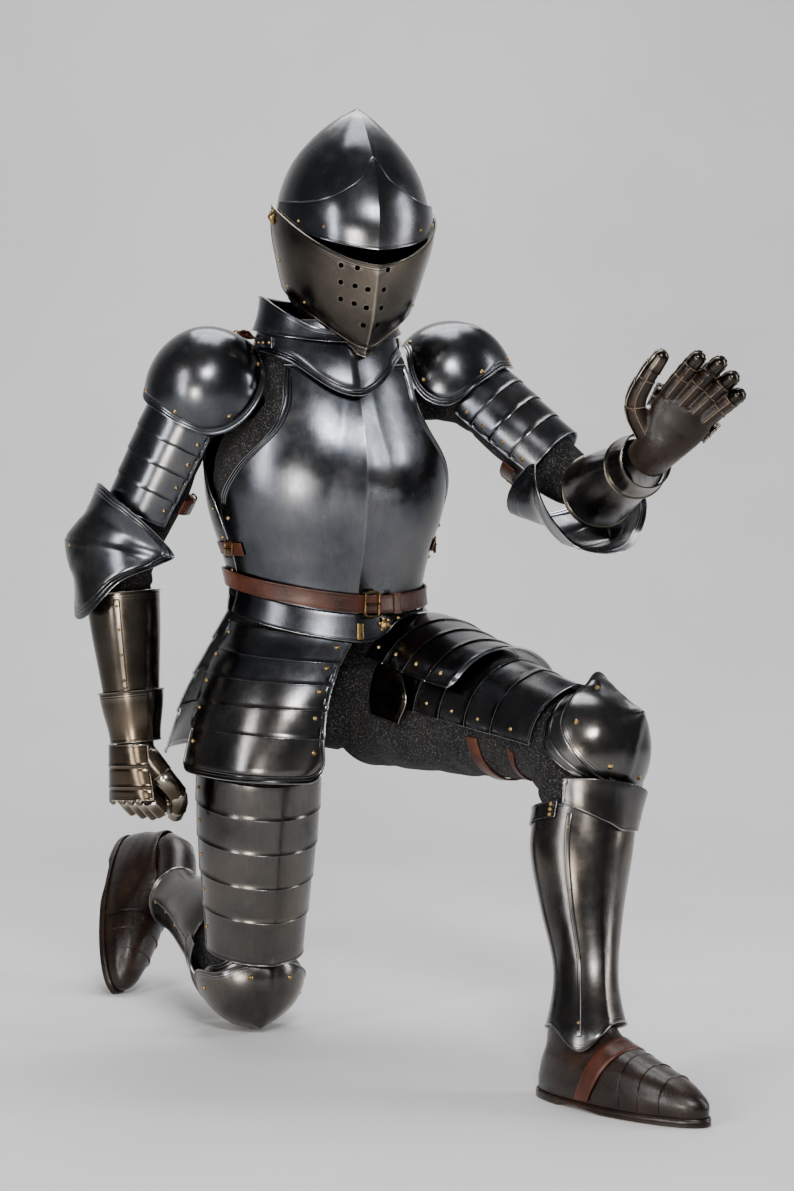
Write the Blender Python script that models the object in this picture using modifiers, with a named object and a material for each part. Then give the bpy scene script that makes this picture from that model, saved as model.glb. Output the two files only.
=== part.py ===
"""A suit of plate armour kneeling on its right knee: hollow plates, straps, gloves, shoes and cloth.

Metres, +Z up. The suit faces -Y and its own left is +X. The origin is the centre of its waist.
Every plate is cut from a form: a tube of elliptical rings along a bone, or a bowl round a joint.
"""
from math import cos, radians, sin

import bmesh
import bpy
from mathutils import Matrix, Vector

# ---- driving dimensions ----
FLOOR = -0.630        # height of the ground below the waist
STEEL = 0.0016        # plate thickness
LEATHER = 0.0026      # strap, glove and shoe leather
FELT = 0.0030         # arming cloth
SOLE = 0.0084         # thickness of a shoe's sole
SEAM = 0.0014         # gap left round a limb where it leaves a body of cloth, and under a shoe
FLARE = 0.0042        # how far a lame's free edge stands off the next lame
OVERLAP = 0.009       # how far a lame tucks under the one before it

# ---- joints of the figure that the suit is shaped round ----
VISOR_PIVOT = Vector((0.020, -0.050, 0.516))
HEAD_TILT = (15.0, 1.2, -5.5)     # pitch forward, roll and yaw, in degrees
SHOULDER = {"right": Vector((-0.181, -0.002, 0.285)), "left": Vector((0.188, -0.001, 0.298))}
ELBOW = {"right": Vector((-0.282, 0.071, 0.038)), "left": Vector((0.339, -0.148, 0.130))}
WRIST = {"right": Vector((-0.270, 0.044, -0.200)), "left": Vector((0.308, -0.394, 0.191))}
HIP = {"right": Vector((-0.0975, 0.002, -0.130)), "left": Vector((0.0956, -0.001, -0.130))}
KNEE = {"right": Vector((-0.094, 0.047, -0.553)), "left": Vector((0.215, -0.424, -0.186))}
ANKLE = {"right": Vector((-0.112, 0.400, -0.475)), "left": Vector((0.153, -0.529, -0.545))}
KNEE_POLE = {"right": Vector((-0.05, -0.50, -0.87)), "left": Vector((0.42, -0.68, 0.50))}
OUTWARD = {"right": Vector((-1, 0, 0)), "left": Vector((1, 0, 0))}
UP = Vector((0, 0, 1))
FRONT = Vector((0, -1, 0))
LEFT = Vector((1, 0, 0))

# The waist line by angle round the trunk: it dips at the front and rises at the right side.
WAIST_LINE = ((-180, 0.012), (-90, 0.019), (0, -0.013), (90, -0.007), (180, 0.012))

# ---- form tables: place along the bone, side and front shift, half width, half depth, keel ----
TRUNK_RINGS = (
    (-0.060, 0, 0.000, 0.147, 0.114, 0.010),
    (-0.030, 0, 0.000, 0.142, 0.110, 0.012),
    (0.000, 0, 0.000, 0.139, 0.108, 0.014),
    (0.050, 0, 0.000, 0.150, 0.116, 0.018),
    (0.100, 0, 0.000, 0.167, 0.126, 0.021),
    (0.150, 0, 0.000, 0.176, 0.132, 0.021),
    (0.200, 0, 0.000, 0.174, 0.131, 0.018),
    (0.250, 0, 0.000, 0.160, 0.122, 0.012),
    (0.300, 0, 0.000, 0.140, 0.106, 0.006),
    (0.340, 0, 0.000, 0.120, 0.085, 0.003))
HEAD_RINGS = (
    (-0.150, 0, 0.020, 0.062, 0.088, 0.010),
    (-0.110, 0, 0.010, 0.082, 0.106, 0.010),
    (-0.060, 0, 0.004, 0.097, 0.121, 0.008),
    (-0.010, 0, 0.000, 0.104, 0.127, 0.007),
    (0.030, 0, -0.002, 0.101, 0.123, 0.006),
    (0.070, 0, -0.006, 0.086, 0.104, 0.005),
    (0.105, 0, -0.012, 0.060, 0.074, 0.004),
    (0.132, 0, -0.018, 0.030, 0.039, 0.003),
    (0.152, 0, -0.022, 0.002, 0.003, 0.000))
VISOR_RINGS = (
    (-0.155, 0, 0.020, 0.062, 0.088, 0.020),
    (-0.110, 0, 0.012, 0.088, 0.112, 0.022),
    (-0.060, 0, 0.006, 0.103, 0.126, 0.018),
    (-0.020, 0, 0.002, 0.112, 0.136, 0.012),
    (0.020, 0, 0.000, 0.1135, 0.136, 0.008))
NECK_RINGS = (
    (0.260, 0, 0.000, 0.126, 0.114, 0.010),
    (0.300, 0, 0.000, 0.118, 0.105, 0.010),
    (0.330, 0, 0.000, 0.105, 0.095, 0.008),
    (0.355, 0, 0.000, 0.101, 0.082, 0.005),
    (0.385, 0, 0.000, 0.092, 0.078, 0.002),
    (0.415, 0, 0.000, 0.089, 0.078, 0.000))
SKIRT_RINGS = (
    (-0.270, -0.108, 0.012, 0.114, 0.130, 0.000),
    (-0.200, -0.082, 0.012, 0.126, 0.131, 0.000),
    (-0.140, -0.048, 0.010, 0.142, 0.128, 0.002),
    (-0.090, -0.018, 0.004, 0.151, 0.121, 0.005),
    (-0.060, -0.004, 0.001, 0.145, 0.113, 0.008),
    (-0.030, 0.000, 0.000, 0.140, 0.108, 0.010))
CULET_RINGS = (
    (-0.240, -0.040, 0.000, 0.196, 0.160, 0.000),
    (-0.150, -0.020, 0.000, 0.188, 0.146, 0.000),
    (-0.085, -0.006, 0.000, 0.168, 0.130, 0.000),
    (-0.028, 0.000, 0.000, 0.142, 0.110, 0.000))
SADDLE_RINGS = (
    (0.020, 0.010, 0.004, 0.118, 0.104, 0.000),
    (0.100, 0.006, 0.002, 0.113, 0.102, 0.000),
    (0.180, 0.000, 0.000, 0.106, 0.095, 0.000),
    (0.280, 0.000, 0.000, 0.099, 0.091, 0.000))
UPPER_ARM_RINGS = (
    (0.000, 0, 0, 0.0630, 0.0630, 0.000),
    (0.100, 0, 0, 0.0600, 0.0600, 0.000),
    (0.190, 0, 0, 0.0550, 0.0550, 0.000),
    (0.280, 0, 0, 0.0510, 0.0510, 0.000))
FOREARM_RINGS = (
    (0.000, 0, 0, 0.0560, 0.0560, 0.000),
    (0.045, 0, 0, 0.0520, 0.0520, 0.000),
    (0.090, 0, 0, 0.0480, 0.0490, 0.000),
    (0.150, 0, 0, 0.0410, 0.0430, 0.000),
    (0.195, 0, 0, 0.0370, 0.0390, 0.000),
    (0.260, 0, 0, 0.0350, 0.0370, 0.000))
CUFF_RINGS = (
    (0.160, 0, 0, 0.0475, 0.0475, 0.000),
    (0.200, 0, 0, 0.0432, 0.0432, 0.000),
    (0.235, 0, 0, 0.0385, 0.0365, 0.000),
    (0.262, 0, 0, 0.0400, 0.0350, 0.000))
THIGH_RINGS = (
    (0.080, 0, 0.000, 0.090, 0.090, 0.000),
    (0.200, 0, 0.000, 0.085, 0.086, 0.002),
    (0.300, 0, 0.000, 0.076, 0.078, 0.003),
    (0.380, 0, 0.000, 0.068, 0.070, 0.004),
    (0.450, 0, 0.000, 0.066, 0.068, 0.004))
SHIN_RINGS = (
    (0.020, 0, 0.000, 0.070, 0.074, 0.000),
    (0.080, -0.004, -0.006, 0.068, 0.068, 0.002),
    (0.140, -0.007, -0.010, 0.068, 0.066, 0.003),
    (0.220, -0.004, -0.008, 0.054, 0.055, 0.003),
    (0.290, 0, 0.000, 0.042, 0.047, 0.003),
    (0.330, 0, 0.004, 0.043, 0.050, 0.003),
    (0.390, 0, 0.010, 0.055, 0.066, 0.003))
SHOE_RINGS = (
    (0.010, 0, 0.000, 0.0430, 0.1380, 0.000),
    (0.028, 0, 0.000, 0.0450, 0.1370, 0.000),
    (0.048, 0, -0.010, 0.0430, 0.1220, 0.000),
    (0.068, 0, -0.034, 0.0380, 0.0900, 0.000),
    (0.088, 0, -0.060, 0.0330, 0.0600, 0.000),
    (0.110, 0, -0.068, 0.0310, 0.0440, 0.000))

# ---- bowl tables: direction round the rim, reach from the pole, body radius, rim radius ----
PAULDRON_RIM = {
    "right": (
        (0, 100, 0.084, 0.088),
        (30, 98, 0.084, 0.088),
        (60, 79, 0.084, 0.086),
        (88, 71, 0.083, 0.086),
        (140, 84, 0.080, 0.084),
        (180, 92, 0.080, 0.083),
        (240, 80, 0.084, 0.086),
        (300, 86, 0.086, 0.090)),
    "left": (
        (5, 70, 0.084, 0.089),
        (38, 59, 0.085, 0.089),
        (64, 66, 0.087, 0.091),
        (90, 78, 0.085, 0.089),
        (150, 92, 0.080, 0.082),
        (210, 84, 0.080, 0.082),
        (270, 66, 0.082, 0.084),
        (315, 92, 0.084, 0.090),
        (340, 92, 0.084, 0.091))}
COUTER_RIM = (
    (0, 58, 0.070, 0.090),
    (45, 94, 0.072, 0.120),
    (68, 116, 0.072, 0.098),
    (90, 146, 0.072, 0.106),
    (112, 152, 0.072, 0.111),
    (135, 96, 0.072, 0.113),
    (180, 58, 0.070, 0.090),
    (225, 62, 0.068, 0.078),
    (270, 74, 0.066, 0.072),
    (315, 62, 0.068, 0.078))
KNEE_LAME = {
    # start angle on the shin, then the lower edge by share across it
    "right": (-105, 0.104),
    "left": (-52, ((0, 0.090), (0.42, 0.120), (0.50, 0.120), (1, 0.100)))}
GREAVE_EDGE = {
    # lower edge by share round the greave from the back, where 0.5 is the front
    "right": 0.315,
    "left": ((0, 0.376), (0.26, 0.376), (0.39, 0.412), (0.52, 0.374), (0.70, 0.368), (1, 0.376))}
POLEYN_RIM = {
    "right": (
        (0, 70, 0.074, 0.078),
        (60, 84, 0.075, 0.082),
        (90, 96, 0.076, 0.086),
        (120, 84, 0.077, 0.081),
        (150, 86, 0.0740, 0.0745),
        (180, 88, 0.0738, 0.0740),
        (210, 86, 0.0738, 0.0740),
        (270, 84, 0.070, 0.073),
        (320, 76, 0.072, 0.074)),
    "left": (
        (0, 74, 0.076, 0.080),
        (60, 84, 0.077, 0.086),
        (90, 98, 0.077, 0.092),
        (120, 78, 0.077, 0.084),
        (154, 66, 0.077, 0.081),
        (180, 66, 0.077, 0.100),
        (206, 64, 0.077, 0.081),
        (240, 68, 0.077, 0.081),
        (270, 80, 0.076, 0.080))}
PALM_RINGS = (
    # share of the palm's path, half width, half thickness
    (0.00, 0.0290, 0.0250),
    (0.30, 0.0320, 0.0230),
    (0.60, 0.0400, 0.0190),
    (0.90, 0.0420, 0.0150),
    (1.00, 0.0380, 0.0110))
HAND_PLATE_RINGS = (
    (0.000, 0, 0, 0.0400, 0.0360, 0.000),
    (0.050, 0, 0, 0.0450, 0.0330, 0.000),
    (0.095, 0, 0, 0.0520, 0.0280, 0.000))
FINGERS = (
    # place from the palm's middle line towards the thumb, share of the full length
    (0.030, 0.86),
    (0.010, 1.00),
    (-0.010, 0.92),
    (-0.029, 0.74))
FINGER_BONES = (0.038, 0.026, 0.022)
THUMB_BONES = (0.050, 0.041, 0.036)
DOUBLET_RINGS = (
    (0.100, 0, 0.000, 0.154, 0.112, 0.000),
    (0.150, 0, 0.000, 0.163, 0.118, 0.000),
    (0.200, 0, 0.000, 0.156, 0.114, 0.000),
    (0.250, 0, 0.000, 0.128, 0.100, 0.000),
    (0.300, 0, 0.000, 0.100, 0.084, 0.000),
    (0.320, 0, 0.000, 0.092, 0.078, 0.000))
PELVIS_RINGS = (
    (-0.232, 0.030, -0.004, 0.004, 0.004, 0.000),
    (-0.215, 0.026, -0.006, 0.070, 0.050, 0.000),
    (-0.170, 0.010, -0.012, 0.112, 0.078, 0.000),
    (-0.100, 0.000, -0.016, 0.130, 0.084, 0.000),
    (-0.040, 0.000, -0.008, 0.124, 0.088, 0.000))

# ---- limb tables: share along the path, half width, half depth ----
SLEEVE_RINGS = (
    (0.00, 0.043, 0.043),
    (0.20, 0.045, 0.045),
    (0.50, 0.043, 0.043),
    (0.75, 0.035, 0.035),
    (1.00, 0.034, 0.034))
HOSE_RINGS = {
    "right": (
        (0.0, 0.082, 0.080),
        (0.4, 0.072, 0.072),
        (0.6, 0.060, 0.060),
        (0.8, 0.052, 0.052),
        (1.0, 0.050, 0.050)),
    "left": (
        (0.0, 0.088, 0.094),
        (0.3, 0.076, 0.084),
        (0.6, 0.057, 0.060),
        (0.8, 0.052, 0.053),
        (1.0, 0.050, 0.050))}

MATERIALS = {
    # name: colour, metallic, roughness
    "steel": ((0.30, 0.31, 0.33, 1), 1.0, 0.28),
    "brown_steel": ((0.26, 0.24, 0.22, 1), 1.0, 0.32),
    "brass": ((0.55, 0.38, 0.16, 1), 1.0, 0.35),
    "strap_leather": ((0.20, 0.055, 0.025, 1), 0.0, 0.45),
    "shoe_leather": ((0.055, 0.030, 0.022, 1), 0.0, 0.35),
    "glove_leather": ((0.075, 0.045, 0.032, 1), 0.0, 0.45),
    "arming_cloth": ((0.030, 0.029, 0.030, 1), 0.0, 0.95)}


def between(rows, place):
    """Read a table smoothly at a place; each row is its place followed by the values there."""
    if place <= rows[0][0]:
        return rows[0][1:]
    if place >= rows[-1][0]:
        return rows[-1][1:]
    index = max(i for i, row in enumerate(rows) if row[0] <= place)
    low, high = rows[index], rows[index + 1]
    before, after = rows[max(index - 1, 0)], rows[min(index + 2, len(rows) - 1)]
    span = high[0] - low[0]
    t = (place - low[0]) / span
    values = []
    for k in range(1, len(low)):
        start_slope = (high[k] - before[k]) / (high[0] - before[0]) * span
        end_slope = (after[k] - low[k]) / (after[0] - low[0]) * span
        values.append((2 * t ** 3 - 3 * t ** 2 + 1) * low[k] + (t ** 3 - 2 * t ** 2 + t) * start_slope
                      + (3 * t ** 2 - 2 * t ** 3) * high[k] + (t ** 3 - t ** 2) * end_slope)
    return tuple(values)


def read(setting, place):
    """A plain number, or a two-column table read at a place."""
    if isinstance(setting, (int, float)):
        return setting
    return between(setting, place)[0]


class Form:
    """A tube of elliptical rings along a bone; angle 0 faces the front and grows to the side."""

    def __init__(self, start, end, facing, sideways, rings, keel_width=40.0):
        self.start = start
        self.along = (end - start).normalized()
        self.facing = (facing - facing.project(self.along)).normalized()
        self.side = self.along.cross(self.facing)
        if self.side.dot(sideways) < 0:
            self.side = -self.side
        self.rings = rings
        self.keel_width = keel_width

    def at(self, side, front, place):
        return self.start + self.side * side + self.facing * front + self.along * place

    def point(self, angle, place, lift=0.0):
        side, front, half_width, half_depth, keel = between(self.rings, place)
        turn = (angle + 180) % 360 - 180
        ridge = keel * max(0.0, 1 - abs(turn) / self.keel_width) ** 2
        across = side + (half_width + lift) * sin(radians(angle))
        return self.at(across, front + (half_depth + lift) * cos(radians(angle)) + ridge, place)


class Bowl:
    """A bowl round a joint, with a pointed or round tip at its pole and a rim of varied reach."""

    def __init__(self, centre, pole, zero, ninety, rim, tip, tip_share=0.4):
        self.centre = centre
        self.pole = pole.normalized()
        self.zero = (zero - zero.project(self.pole)).normalized()
        self.ninety = self.pole.cross(self.zero)
        if self.ninety.dot(ninety) < 0:
            self.ninety = -self.ninety
        back = (rim[-1][0] - 360,) + rim[-1][1:]
        self.rim = (back,) + rim + tuple((row[0] + 360,) + row[1:] for row in rim[:2])
        self.tip = tip
        self.tip_share = tip_share

    def point(self, turn, share, lift=0.0):
        reach, body, edge = between(self.rim, turn % 360)
        polar = radians(reach) * share
        radius = body + lift + (self.tip - body) * max(0.0, 1 - share / self.tip_share) ** 2
        radius += (edge - body) * max(0.0, 2 * share - 1) ** 2
        outward = self.zero * cos(radians(turn)) + self.ninety * sin(radians(turn))
        return self.centre + (self.pole * cos(polar) + outward * sin(polar)) * radius


class Limb:
    """A round tube along a smooth path through a few points; sideways stays across the bend."""

    def __init__(self, points, rings, sideways):
        self.sideways = sideways
        self.path = tuple((i / (len(points) - 1),) + tuple(p) for i, p in enumerate(points))
        self.rings = rings

    def point(self, angle, share, lift=0.0):
        centre = Vector(between(self.path, share))
        step = 0.02
        ahead = Vector(between(self.path, min(1.0, share + step)))
        behind = Vector(between(self.path, max(0.0, share - step)))
        tangent = (ahead - behind).normalized()
        side = (self.sideways - self.sideways.project(tangent)).normalized()
        facing = side.cross(tangent)
        half_width, half_depth = between(self.rings, share)
        across = side * (half_width + lift) * sin(radians(angle))
        return centre + across + facing * (half_depth + lift) * cos(radians(angle))


# ---- making objects ----
def collection(name):
    made = bpy.data.collections.new(name)
    bpy.context.scene.collection.children.link(made)
    return made


def material(name):
    """The named finish, made once."""
    if name in bpy.data.materials:
        return bpy.data.materials[name]
    made = bpy.data.materials.new(name)
    made.use_nodes = True
    colour, metallic, roughness = MATERIALS[name]
    shader = made.node_tree.nodes["Principled BSDF"]
    shader.inputs["Base Color"].default_value = colour
    shader.inputs["Metallic"].default_value = metallic
    shader.inputs["Roughness"].default_value = roughness
    return made


def add_object(name, mesh_data, finish):
    made = bpy.data.objects.new(name, mesh_data)
    SUIT.objects.link(made)
    mesh_data.materials.append(material(finish))
    mesh_data.shade_smooth()
    mesh_data.set_sharp_from_angle(angle=radians(35))
    return made


def face_outward(mesh):
    """Turn an open sheet's faces so that they look away from its middle."""
    middle = sum((vertex.co for vertex in mesh.verts), Vector()) / len(mesh.verts)
    mesh.normal_update()
    outward = sum(face.normal.dot(face.calc_center_median() - middle) * face.calc_area()
                  for face in mesh.faces)
    if outward < 0:
        bmesh.ops.reverse_faces(mesh, faces=mesh.faces[:])


def grid_mesh(name, rows, closed, pole):
    """Join rows of points into one sheet; a closed sheet wraps round, and a pole ends it in a point."""
    mesh = bmesh.new()
    grid = [[mesh.verts.new(point) for point in row] for row in rows[1 if pole else 0:]]
    for upper, lower in zip(grid, grid[1:]):
        count = len(upper)
        for i in range(count if closed else count - 1):
            j = (i + 1) % count
            mesh.faces.new((upper[i], upper[j], lower[j], lower[i]))
    if pole:
        tip = mesh.verts.new(rows[0][0])
        ring = grid[0]
        for i in range(len(ring)):
            mesh.faces.new((tip, ring[(i + 1) % len(ring)], ring[i]))
    bmesh.ops.recalc_face_normals(mesh, faces=mesh.faces[:])
    face_outward(mesh)
    data = bpy.data.meshes.new(name)
    mesh.to_mesh(data)
    mesh.free()
    return data


def shell(name, rows, wall, finish, closed=False, pole=False):
    """A hollow piece: a sheet of points, thickened inward by its wall."""
    made = add_object(name, grid_mesh(name, rows, closed, pole), finish)
    solidify = made.modifiers.new("Wall", "SOLIDIFY")
    solidify.thickness = wall
    solidify.offset = -1
    solidify.use_even_offset = True
    return made


def steps(count, start=0.0, end=1.0):
    return [start + (end - start) * i / (count - 1) for i in range(count)]


def plate(name, form, low, high, sides, size, lift=0.0, wall=STEEL, finish="steel", profile=None):
    """A plate on a form. low and high are its edges' places by share across, sides its end angles
    by place. size is columns by rows. lift is its height over the form by share along, and a
    profile gives the rows themselves as pairs of share along and lift."""
    columns, count = size
    closed = isinstance(sides, tuple) and isinstance(sides[0], (int, float)) and sides[1] - sides[0] == 360
    shares = steps(columns + 1)[:-1] if closed else steps(columns + 1)
    rows = []
    for along, rise in profile or [(t, read(lift, t)) for t in steps(count + 1)]:
        row = []
        for across in shares:
            place = read(low, across) + (read(high, across) - read(low, across)) * along
            ends = sides if isinstance(sides[0], (int, float)) else between(sides, place)
            row.append(form.point(ends[0] + (ends[1] - ends[0]) * across, place, rise))
        rows.append(row)
    return shell(name, rows, wall, finish, closed=closed)


def bowl(name, form, size, lift=0.0, wall=STEEL, finish="steel"):
    """A plate that covers a whole bowl."""
    columns, count = size
    turns = [360 * i / columns for i in range(columns)]
    rows = [[form.point(turn, share, lift) for turn in turns] for share in steps(count + 1)]
    return shell(name, rows, wall, finish, closed=True, pole=True)


def lames(name, form, edges, sides, size, finish="steel"):
    """Separate overlapping lames. Each edge is the place at the start and at the end of the arc."""
    for number, (top, bottom) in enumerate(zip(edges, edges[1:]), start=1):
        tuck = OVERLAP if bottom[0] > top[0] else -OVERLAP
        start = 0 if number == 1 else tuck
        high = ((0, top[0] - start), (1, top[1] - start))
        low = ((0, bottom[0]), (1, bottom[1]))
        plate(f"{name}_{number}", form, low, high, sides, size, lift=((0, FLARE), (1, 0.0)), finish=finish)


def stepped(name, form, places, dip, sides, columns, lift=0.0, finish="steel"):
    """A stack of lames riveted into one shell; each lame's free edge stands off the next."""
    first, last = places[0], places[-1]
    profile = []
    for top, bottom in zip(places, places[1:]):
        start = 0.0 if top == first else 0.0008
        profile.append(((top + start - first) / (last - first), lift))
        profile.append(((bottom - first) / (last - first), lift + FLARE * 0.6))
    low = ((0, first), (0.5, first + dip), (1, first))
    high = ((0, last), (0.5, last + dip), (1, last))
    return plate(name, form, low, high, sides, (columns, 0), profile=profile, finish=finish)


# ---- helmet and neck ----
def head_axes():
    pitch, roll, yaw = (radians(angle) for angle in HEAD_TILT)
    turn = Matrix.Rotation(yaw, 3, "Z") @ Matrix.Rotation(roll, 3, "Y") @ Matrix.Rotation(pitch, 3, "X")
    return turn @ UP, turn @ FRONT, turn @ LEFT


def make_helmet():
    up, front, left = head_axes()
    head = Form(VISOR_PIVOT, VISOR_PIVOT + up, front, left, HEAD_RINGS, keel_width=28)
    apex = HEAD_RINGS[-1][0]
    rim = ((-180, -0.126), (-120, -0.114), (-92, -0.100), (-72, -0.030), (-52, 0.010), (0, 0.022),
           (52, 0.010), (72, -0.030), (92, -0.100), (120, -0.114), (180, -0.126))
    columns = 18
    angles = [-180 + 360 * i / columns for i in range(columns)]
    rows = [[head.point(a, apex + (read(rim, a) - apex) * share ** 0.8) for a in angles]
            for share in steps(7)]
    shell("skull", rows, STEEL, "steel", closed=True, pole=True)
    plate("brow_plate", head, ((0, 0.004), (0.5, -0.010), (1, 0.004)),
          ((0, 0.024), (0.25, 0.046), (0.42, 0.078), (0.5, 0.104), (0.58, 0.078), (0.75, 0.046), (1, 0.024)),
          (-88, 88), (12, 4), lift=0.0058)
    face = Form(VISOR_PIVOT, VISOR_PIVOT + up, front, left, VISOR_RINGS)
    plate("visor", face,
          ((0, -0.100), (0.2, -0.116), (0.5, -0.152), (0.8, -0.116), (1, -0.100)),
          ((0, 0.016), (0.12, 0.010), (0.5, -0.028), (0.88, 0.010), (1, 0.016)),
          (-98, 98), (12, 4), finish="brown_steel")
    for side, sign in (("right", -1), ("left", 1)):
        make_pivot(side, VISOR_PIVOT + left * sign * 0.1175, left * sign)


def make_pivot(side, centre, outward):
    """The boss over the end of the visor's hinge bolt."""
    mesh = bmesh.new()
    bmesh.ops.create_cone(mesh, cap_ends=True, segments=12, radius1=0.012, radius2=0.008, depth=0.006)
    turn = UP.rotation_difference(outward).to_matrix().to_4x4()
    bmesh.ops.transform(mesh, matrix=Matrix.Translation(centre) @ turn, verts=mesh.verts[:])
    data = bpy.data.meshes.new(f"pivot_{side}")
    mesh.to_mesh(data)
    mesh.free()
    add_object(f"pivot_{side}", data, "brass")


def make_neck():
    axis = Vector((-0.007, -0.018, 0))
    neck = Form(axis, axis + UP, FRONT, LEFT, NECK_RINGS)
    low = ((0, 0.334), (0.25, 0.334), (0.375, 0.318), (0.5, 0.272), (0.625, 0.318), (0.75, 0.334), (1, 0.334))
    plate("gorget", neck, low, 0.378, (-180, 180), (16, 3))
    high = ((0, 0.404), (0.25, 0.410), (0.36, 0.386), (0.44, 0.366), (0.56, 0.366), (0.64, 0.380),
            (0.75, 0.400), (1, 0.404))
    low = ((0, 0.366), (0.25, 0.362), (0.5, 0.346), (0.75, 0.362), (1, 0.366))
    plate("neck_lame", neck, low, high, (-180, 180), (16, 1), lift=((0, 0.0070), (1, 0.0052)))


# ---- trunk ----
def waist(offset, start, end):
    """The waist line's height by share across an arc, moved up by an offset."""
    return [(t, read(WAIST_LINE, (start + (end - start) * t + 180) % 360 - 180) + offset) for t in steps(9)]


def make_trunk():
    trunk = Form(Vector(), UP, FRONT, LEFT, TRUNK_RINGS, keel_width=60)
    heights = [(share, 0.0) for share in (0, 0.05, 0.10, 0.20, 0.34, 0.50, 0.66, 0.82, 1)]
    plate("breastplate", trunk, waist(-0.014, -77, 77), 0.300,
          ((-0.03, -77, 77), (0.12, -77, 77), (0.17, -64, 64), (0.22, -46, 46), (0.26, -40, 40),
           (0.30, -42, 42)), (12, 0), profile=heights)
    plate("backplate", trunk, waist(-0.014, 80, 280), 0.325,
          ((-0.03, 80, 280), (0.10, 80, 280), (0.16, 92, 268), (0.22, 112, 248), (0.325, 118, 242)),
          (12, 0), profile=heights)
    plate("waist_belt", trunk, waist(-0.0125, -180, 180), waist(0.0125, -180, 180), (-180, 180), (24, 1),
          lift=0.0066, wall=LEATHER, finish="strap_leather")
    plate("belt_buckle", trunk, waist(-0.0155, 3, 13), waist(0.0155, 3, 13), (3, 13), (2, 2), lift=0.0098,
          wall=0.0022, finish="brass")
    plate("fauld", trunk,
          ((0, -0.026), (0.3, -0.052), (0.5, -0.066), (0.57, -0.062), (0.65, -0.040), (0.73, -0.031),
           (1, -0.036)), waist(-0.0152, -84, 84), (-84, 84), (12, 1), lift=((0, 0.0055), (1, 0.0)))
    culet = Form(Vector(), UP, FRONT, LEFT, CULET_RINGS)
    plate("culet", culet, -0.225, waist(-0.0152, 97, 264),
          ((-0.225, 140, 264), (-0.12, 110, 264), (-0.028, 97, 264)), (8, 3))
    skirt = Form(Vector(), UP, FRONT, LEFT, SKIRT_RINGS, keel_width=60)
    lames("tasset_right", skirt,
          ((-0.040, -0.060), (-0.076, -0.095), (-0.111, -0.124), (-0.149, -0.157), (-0.183, -0.197),
           (-0.247, -0.257)),
          ((-0.27, -88, 28), (-0.16, -92, 3), (-0.10, -94, -3), (-0.05, -94, 0)), (8, 1))
    saddle = Form(HIP["left"], KNEE["left"], UP, LEFT, SADDLE_RINGS)
    edges = [(place, place) for place in (0.060, 0.105, 0.150, 0.200, 0.255)]
    lames("tasset_left", saddle, edges, (-64, 80), (8, 1))


# ---- arms ----
def make_arm(side, pauldron_pole, couter_wing, couter_shift, lame_facing, cuff_start):
    shoulder, elbow, wrist = SHOULDER[side], ELBOW[side], WRIST[side]
    outward = OUTWARD[side]
    dome = Bowl(shoulder, pauldron_pole, FRONT, UP * -1, PAULDRON_RIM[side], 0.084)
    bowl(f"pauldron_{side}", dome, (14, 3))
    upper = Form(shoulder, elbow, lame_facing, FRONT, UPPER_ARM_RINGS)
    stepped(f"arm_lames_{side}", upper, (0.052, 0.086, 0.121, 0.158, 0.195), 0.0, (-104, 104), 8)
    bend = (shoulder - elbow).normalized() + (wrist - elbow).normalized()
    hinge = (wrist - elbow).normalized() - (shoulder - elbow).normalized()
    cup = Bowl(elbow + couter_shift, -bend, hinge, couter_wing, COUTER_RIM, 0.082)
    bowl(f"couter_{side}", cup, (16, 3), lift=0.002)
    lower = Form(elbow, wrist, outward, FRONT, FOREARM_RINGS)
    plate(f"vambrace_{side}", lower, 0.040, cuff_start + 0.010, (-180, 180), (10, 3), finish="brown_steel")
    cuff = Form(elbow, wrist, outward, FRONT, CUFF_RINGS)
    plate(f"gauntlet_cuff_{side}", cuff, cuff_start, 0.250, (-180, 180), (10, 2), finish="brown_steel")
    across = (elbow - shoulder).cross(wrist - elbow)
    inside = bend.normalized()
    armpit = shoulder - outward * 0.050 - UP * 0.016
    sleeve = Limb((armpit, shoulder.lerp(elbow, 0.16), shoulder.lerp(elbow, 0.50),
                   shoulder.lerp(elbow, 0.82) + inside * 0.004, elbow.lerp(wrist, 0.10) + inside * 0.009,
                   elbow.lerp(wrist, 0.36)), SLEEVE_RINGS, across)
    SLEEVES[side] = sleeve
    tube(f"sleeve_{side}", sleeve, (8, 7), FELT, "arming_cloth")
    plate(f"arm_strap_{side}", upper, 0.150, 0.172, (116, 244), (6, 1), lift=0.0005, wall=LEATHER,
          finish="strap_leather")


def tube_rows(limb, size, lift=0.0, start=0.0, end=1.0):
    columns, count = size
    angles = [360 * i / columns for i in range(columns)]
    return [[limb.point(angle, share, lift) for angle in angles] for share in steps(count + 1, start, end)]


def tube(name, limb, size, wall, finish):
    return shell(name, tube_rows(limb, size), wall, finish, closed=True)


# ---- hands: a glove is a palm and five fingers joined, then hollowed from the wrist ----
def chain(start, bones, directions):
    points = [start]
    for length, direction in zip(bones, directions):
        points.append(points[-1] + direction.normalized() * length)
    return points


def add_tube(mesh, rows):
    """Add a capped tube of rings to a mesh."""
    rings = [[mesh.verts.new(point) for point in row] for row in rows]
    faces = [mesh.faces.new(rings[0]), mesh.faces.new(rings[-1][::-1])]
    for upper, lower in zip(rings, rings[1:]):
        for i in range(len(upper)):
            j = (i + 1) % len(upper)
            faces.append(mesh.faces.new((upper[j], upper[i], lower[i], lower[j])))
    bmesh.ops.recalc_face_normals(mesh, faces=faces)


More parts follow.
